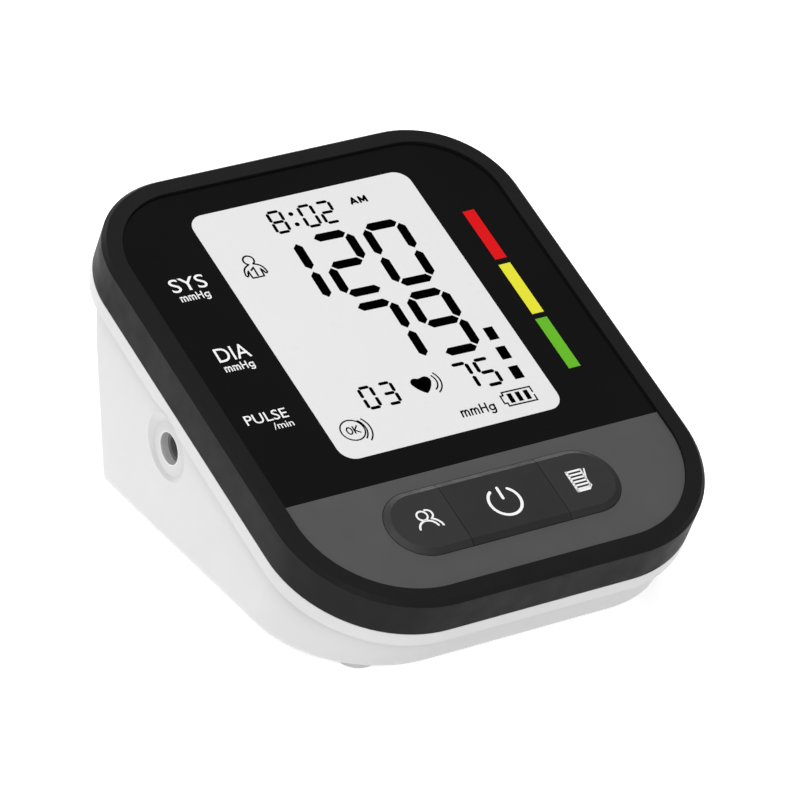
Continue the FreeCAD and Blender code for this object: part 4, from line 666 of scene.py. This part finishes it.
def make_screen_unit():
    x, y, width, cap, thick, slant = 3.5, -34.15, 9.4, 2.5, 0.42, 0.1
    unit_word("screen_unit", x, y, width, cap, thick, SCREEN_TOP, INK_TOP, "print_black", GLYPHS, slant)


def make_display():
    make_screen()
    make_readings()
    make_level_marks()
    make_user_symbol()
    make_heart()
    make_ok_symbol()
    make_battery_symbol()
    make_clock_half()
    make_screen_unit()


# ---------------------------------------------------------------- print on the lens

LABELS = {
    # piece: word, its left end on the baseline, its width and the height of its capitals
    "label_sys": ("SYS", (-44.0, 34.05), 9.2, 3.95),
    "label_dia": ("DIA", (-43.75, 11.95), 8.5, 4.1),
    "label_pulse": ("PULSE", (-46.7, -6.85), 10.8, 2.8),
    "label_pulse_unit": ("/min", (-41.0, -9.65), 5.1, 1.9),
}
UNITS = {"label_sys_unit": (-43.4, 31.15), "label_dia_unit": (-43.7, 9.0)}
UNIT_WIDTH, UNIT_CAP, UNIT_THICK = 7.8, 1.95, 0.33
LABEL_TURN = -1.3
BARS = {
    # colour: the bar's left edge and its two ends
    "red": (37.2, 22.26, 38.16),
    "yellow": (37.05, 4.46, 20.56),
    "green": (36.85, -13.04, 2.86),
}
BAR_WIDTH = 3.25
PRINT_TOP = 0.025


def label_matrix(x, y):
    """Puts a label's left end at x, y on the face, turned as the labels are."""
    turned = Matrix.Rotation(math.radians(LABEL_TURN), 4, "Z")
    return FACE @ Matrix.Translation(Vector((x, y, 0)) * MM) @ turned


def make_labels():
    for name, (text, start, width, cap) in LABELS.items():
        letters(name, text, width, cap, "print_white", label_matrix(*start), SUNK, PRINT_TOP)
    for name, start in UNITS.items():
        unit_word(name, 0, 0, UNIT_WIDTH, UNIT_CAP, UNIT_THICK, SUNK, PRINT_TOP, "print_white",
                  label_matrix(*start))


def make_pressure_bars():
    for colour, (left, bottom, top) in BARS.items():
        bar = Print(SUNK, PRINT_TOP)
        bar.area(rectangle(left, bottom, left + BAR_WIDTH, top))
        bar.place("pressure_bar_" + colour, "print_" + colour)


# ---------------------------------------------------------------- symbols on the keys

KEY_RISE = extent("power_key", NORMAL)[1] - panel_front
ON_KEYS = FACE @ Matrix.Translation(Vector((0, 0, KEY_RISE)))
KEY_INK = (SUNK, 0.03)
POWER_MARK_AT, USERS_MARK_AT, MEMORY_MARK_AT = (0, -44.7), (-20.6, -44.1), (20.55, -44.4)


def make_power_symbol():
    """A ring open at the top, with a line in the opening."""
    radius, width = 3.97, 0.72
    mark = Print(*KEY_INK, *POWER_MARK_AT)
    mark.line(arc(0, 0, radius, 124, 413, 40), width)
    mark.line([(0.05, 4.0), (-0.02, 0.9)], width)
    mark.place("power_symbol", "print_white", "power_key", matrix=ON_KEYS)


def make_users_symbol():
    """Head and shoulders of one person, and of a second one behind."""
    head, shoulder, head_line, shoulder_line = 1.3, 2.45, 0.46, 0.5
    mark = Print(*KEY_INK, *USERS_MARK_AT)
    mark.circle(-0.65, 1.2, head, head_line)
    mark.line(arc(-0.6, -2.75, shoulder, 12, 168), shoulder_line)
    mark.line(arc(0.78, 1.25, head, 95, -62), head_line)
    mark.line(arc_through((1.2, -0.1), (2.4, -1.0), (3.0, -2.5)), shoulder_line)
    mark.place("users_symbol", "print_white", "user_key", matrix=ON_KEYS)


def make_memory_symbol():
    """A written page with a folded corner, and the edge of a second page behind it."""
    left, right, top, bottom, rows, gap = -2.35, 2.0, 3.1, -3.1, 6, 1.02
    left_line, right_line, row_line, foot_line, behind_line = 0.6, 0.42, 0.5, 0.75, 0.36
    mark = Print(*KEY_INK, *MEMORY_MARK_AT)
    mark.line([(left + 0.3, bottom + 0.25), (left + 0.3, top - 0.2)], left_line)
    mark.line([(right - 0.2, top - 0.2), (right - 0.2, bottom + 1.3)], right_line)
    for i in range(rows):
        y = top - 0.25 - i * gap
        end = right - (0.4 if i == rows - 1 else 0.15)
        mark.line([(left + 0.3, y), (end, y)], row_line)
    foot, fold = bottom + 0.35, (right - 0.15, bottom + 1.2)
    mark.line([(left + 0.3, foot), (right - 1.0, foot), fold], foot_line)
    mark.line([(right + 0.75, top - 0.35), (right - 0.1, top - 2.9)], behind_line)
    mark.place("memory_symbol", "print_white", "memory_key", matrix=ON_KEYS)


# ---------------------------------------------------------------- cells and springs

def lathe(name, profile, start, axis, body, steps=64):
    """Turns a profile of (place along the axis, radius, finish) round an axis from start. Each stretch of
    surface takes the finish of the point that it ends at."""
    finishes = sorted({finish for _, _, finish in profile})
    side = Vector((0, 0, 1)) if abs(axis.z) < 0.5 else Vector((1, 0, 0))
    across = axis.cross(side)
    mesh = bmesh.new()
    rings = []
    for along, radius, _ in profile:
        middle = start + axis * along * MM
        if radius == 0:
            rings.append([mesh.verts.new(middle)] * steps)
            continue
        turns = [2 * math.pi * i / steps for i in range(steps)]
        rings.append([mesh.verts.new(middle + (side * math.cos(t) + across * math.sin(t)) * radius * MM)
                      for t in turns])
    for (low, high), (_, _, finish) in zip(zip(rings, rings[1:]), profile[1:]):
        for i in range(steps):
            j = (i + 1) % steps
            corners = list(dict.fromkeys((low[i], low[j], high[j], high[i])))
            face = mesh.faces.new(corners)
            face.material_index = finishes.index(finish)
            face.smooth = True
    bmesh.ops.recalc_face_normals(mesh, faces=mesh.faces)
    made = bpy.data.meshes.new(name)
    mesh.to_mesh(made)
    mesh.free()
    made.set_sharp_from_angle(angle=math.radians(35))
    return place(name, made, finishes, body)


CELL_PROFILE = [
    # from the flat end to the nub: place, radius and finish
    (0.35, 0, "contact_steel"), (0.35, 4.6, "contact_steel"), (0.0, 5.0, "contact_steel"),
    (0.0, 6.2, "contact_steel"), (0.1, 6.3, "cell_wrap"), (0.05, 6.7, "cell_wrap"),
    (0.3, 7.1, "cell_wrap"), (0.8, 7.25, "cell_wrap"), (9.0, 7.25, "cell_wrap"),
    (9.0, 7.25, "cell_band"), (12.0, 7.25, "cell_band"), (12.0, 7.25, "cell_wrap"),
    (48.6, 7.25, "cell_wrap"), (49.2, 7.1, "cell_wrap"), (49.45, 6.6, "cell_wrap"),
    (49.3, 6.0, "cell_wrap"), (49.3, 5.8, "contact_steel"), (49.2, 3.6, "contact_steel"),
    (49.45, 2.95, "contact_steel"), (49.7, 2.75, "contact_steel"), (50.35, 2.75, "contact_steel"),
    (50.5, 2.6, "contact_steel"), (50.5, 0, "contact_steel")]
SPRING_TURNS, STEPS_PER_TURN = 5.5, 28
SPRING_WIDE, SPRING_NARROW, WIRE_RADIUS = 4.5, 2.9, 0.4


def make_cell(number, forward):
    low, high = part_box(f"battery_{number}")
    middle = (low + high) / 2
    axis = Vector((0, 1 if forward else -1, 0))
    start = Vector((middle.x, low.y if forward else high.y, middle.z))
    cell = lathe(f"cell_{number}", CELL_PROFILE, start, axis, "housing")
    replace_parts(cell, f"battery_{number}")


def make_springs():
    """Tapered coils, wide at the contact plate, that press on the flat end of each cell."""
    springs = bmesh.new()
    far_low, far_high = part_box("battery_springs")
    for number in range(1, 5):
        forward = number % 2 == 1
        low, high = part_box(f"battery_{number}")
        middle = (low + high) / 2
        plate, cell = (far_low.y, low.y) if forward else (far_high.y, high.y)
        wire = (1 if forward else -1) * WIRE_RADIUS * MM
        curve = bpy.data.curves.new("spring", "CURVE")
        curve.dimensions = "3D"
        curve.bevel_depth, curve.bevel_resolution, curve.use_fill_caps = WIRE_RADIUS * MM, 3, True
        count = int(SPRING_TURNS * STEPS_PER_TURN)
        spline = curve.splines.new("POLY")
        spline.points.add(count)
        for i in range(count + 1):
            share, turn = i / count, 2 * math.pi * i / STEPS_PER_TURN
            radius = (SPRING_WIDE + (SPRING_NARROW - SPRING_WIDE) * share) * MM
            x, z = middle.x + radius * math.cos(turn), middle.z + radius * math.sin(turn)
            spline.points[i].co = (x, plate + wire + (cell - plate - 2 * wire) * share, z, 1)
        probe = bpy.data.objects.new("spring", curve)
        coil = bpy.data.meshes.new_from_object(probe)
        springs.from_mesh(coil)
        bpy.data.objects.remove(probe)
    mesh = bpy.data.meshes.new("cell_springs")
    springs.to_mesh(mesh)
    springs.free()
    mesh.polygons.foreach_set("use_smooth", [True] * len(mesh.polygons))
    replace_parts(place("cell_springs", mesh, ["contact_steel"], "housing"), "battery_springs")


# ---------------------------------------------------------------- studio

def make_camera():
    """The camera looks at the middle of the object's box, a little off axis and rolled."""
    azimuth, elevation, roll = math.radians(-35.345), math.radians(29.408), math.radians(5.137)
    distance, right_shift, up_shift = 1.2747, 0.00029, -0.00024
    focal_length, sensor_width, near, far = 249.7, 36, 0.05, 100
    back = Vector((math.sin(azimuth) * math.cos(elevation), -math.cos(azimuth) * math.cos(elevation),
                   math.sin(elevation)))
    level = Vector((0, 0, 1)).cross(back).normalized()
    turned = Matrix((level, back.cross(level), back)).transposed() @ Matrix.Rotation(roll, 3, "Z")
    middle = (cad_box[0] + cad_box[1]) / 2
    camera = bpy.data.objects.new("camera", bpy.data.cameras.new("camera"))
    camera.data.lens, camera.data.sensor_width = focal_length, sensor_width
    camera.data.clip_start, camera.data.clip_end = near, far
    spot = middle + turned @ Vector((right_shift, up_shift, distance))
    camera.matrix_world = Matrix.Translation(spot) @ turned.to_4x4()
    bpy.context.scene.collection.objects.link(camera)
    bpy.context.scene.camera = camera


LIGHTS = {
    # name: place and size in metres, power in watts
    "overhead": ((-0.5, -0.1, 1.7), 1.5, 19),
    "front_left": ((-0.7, -1.3, 1.1), 0.8, 9),
    "behind_right": ((0.8, 1.4, 0.7), 1.0, 10),
    "behind_left": ((-0.6, 1.6, 0.9), 1.0, 9),
}
SURROUNDINGS = 0.26
FLOOR_HALF, FLOOR_LOW, FLOOR_GLOW = 12.0, -0.1 * MM, 0.48


def make_lights():
    middle = (cad_box[0] + cad_box[1]) / 2
    for name, (spot, size, power) in LIGHTS.items():
        lamp = bpy.data.lights.new(name, "AREA")
        lamp.shape, lamp.size, lamp.energy = "DISK", size, power
        softbox = bpy.data.objects.new(name, lamp)
        softbox.location = spot
        softbox.rotation_euler = (middle - Vector(spot)).to_track_quat("-Z", "Y").to_euler()
        bpy.context.scene.collection.objects.link(softbox)
    world = bpy.data.worlds.new("studio")
    world.use_nodes = True
    world.node_tree.nodes["Background"].inputs["Color"].default_value = grey(SURROUNDINGS)
    bpy.context.scene.world = world
    bpy.context.scene.view_settings.view_transform = "Standard"


def make_floor():
    """A pale lit table that runs on to the horizon. It is clear from below, so that the base can be seen."""
    mesh = bpy.data.meshes.new("floor")
    corners = rectangle(-FLOOR_HALF, -FLOOR_HALF, FLOOR_HALF, FLOOR_HALF)
    mesh.from_pydata([(x, y, FLOOR_LOW) for x, y in corners], [], [(0, 1, 2, 3)])
    table = Finish("table", (0.9, 0.9, 0.9), 0.6, drift=0.005, patch=200, depth=0,
                   Emission_Color=(1, 1, 1, 1), Emission_Strength=FLOOR_GLOW)
    sides = table.tree.nodes.new("ShaderNodeNewGeometry")
    either = table.tree.nodes.new("ShaderNodeMixShader")
    clear = table.tree.nodes.new("ShaderNodeBsdfTransparent")
    table.link(sides.outputs["Backfacing"], either.inputs["Fac"])
    table.link(table.shader.outputs["BSDF"], either.inputs[1])
    table.link(clear.outputs["BSDF"], either.inputs[2])
    table.link(either.outputs["Shader"], table.tree.nodes["Material Output"].inputs["Surface"])
    mesh.materials.append(table.material)
    floor = bpy.data.objects.new("floor", mesh)
    bpy.context.scene.collection.objects.link(floor)


# ---------------------------------------------------------------- the whole

dress_cad()
make_display()
make_labels()
make_pressure_bars()
make_power_symbol()
make_users_symbol()
make_memory_symbol()
for number in range(1, 5):
    make_cell(number, number % 2 == 1)
make_springs()
make_camera()
make_lights()
make_floor()

bpy.context.view_layer.update()
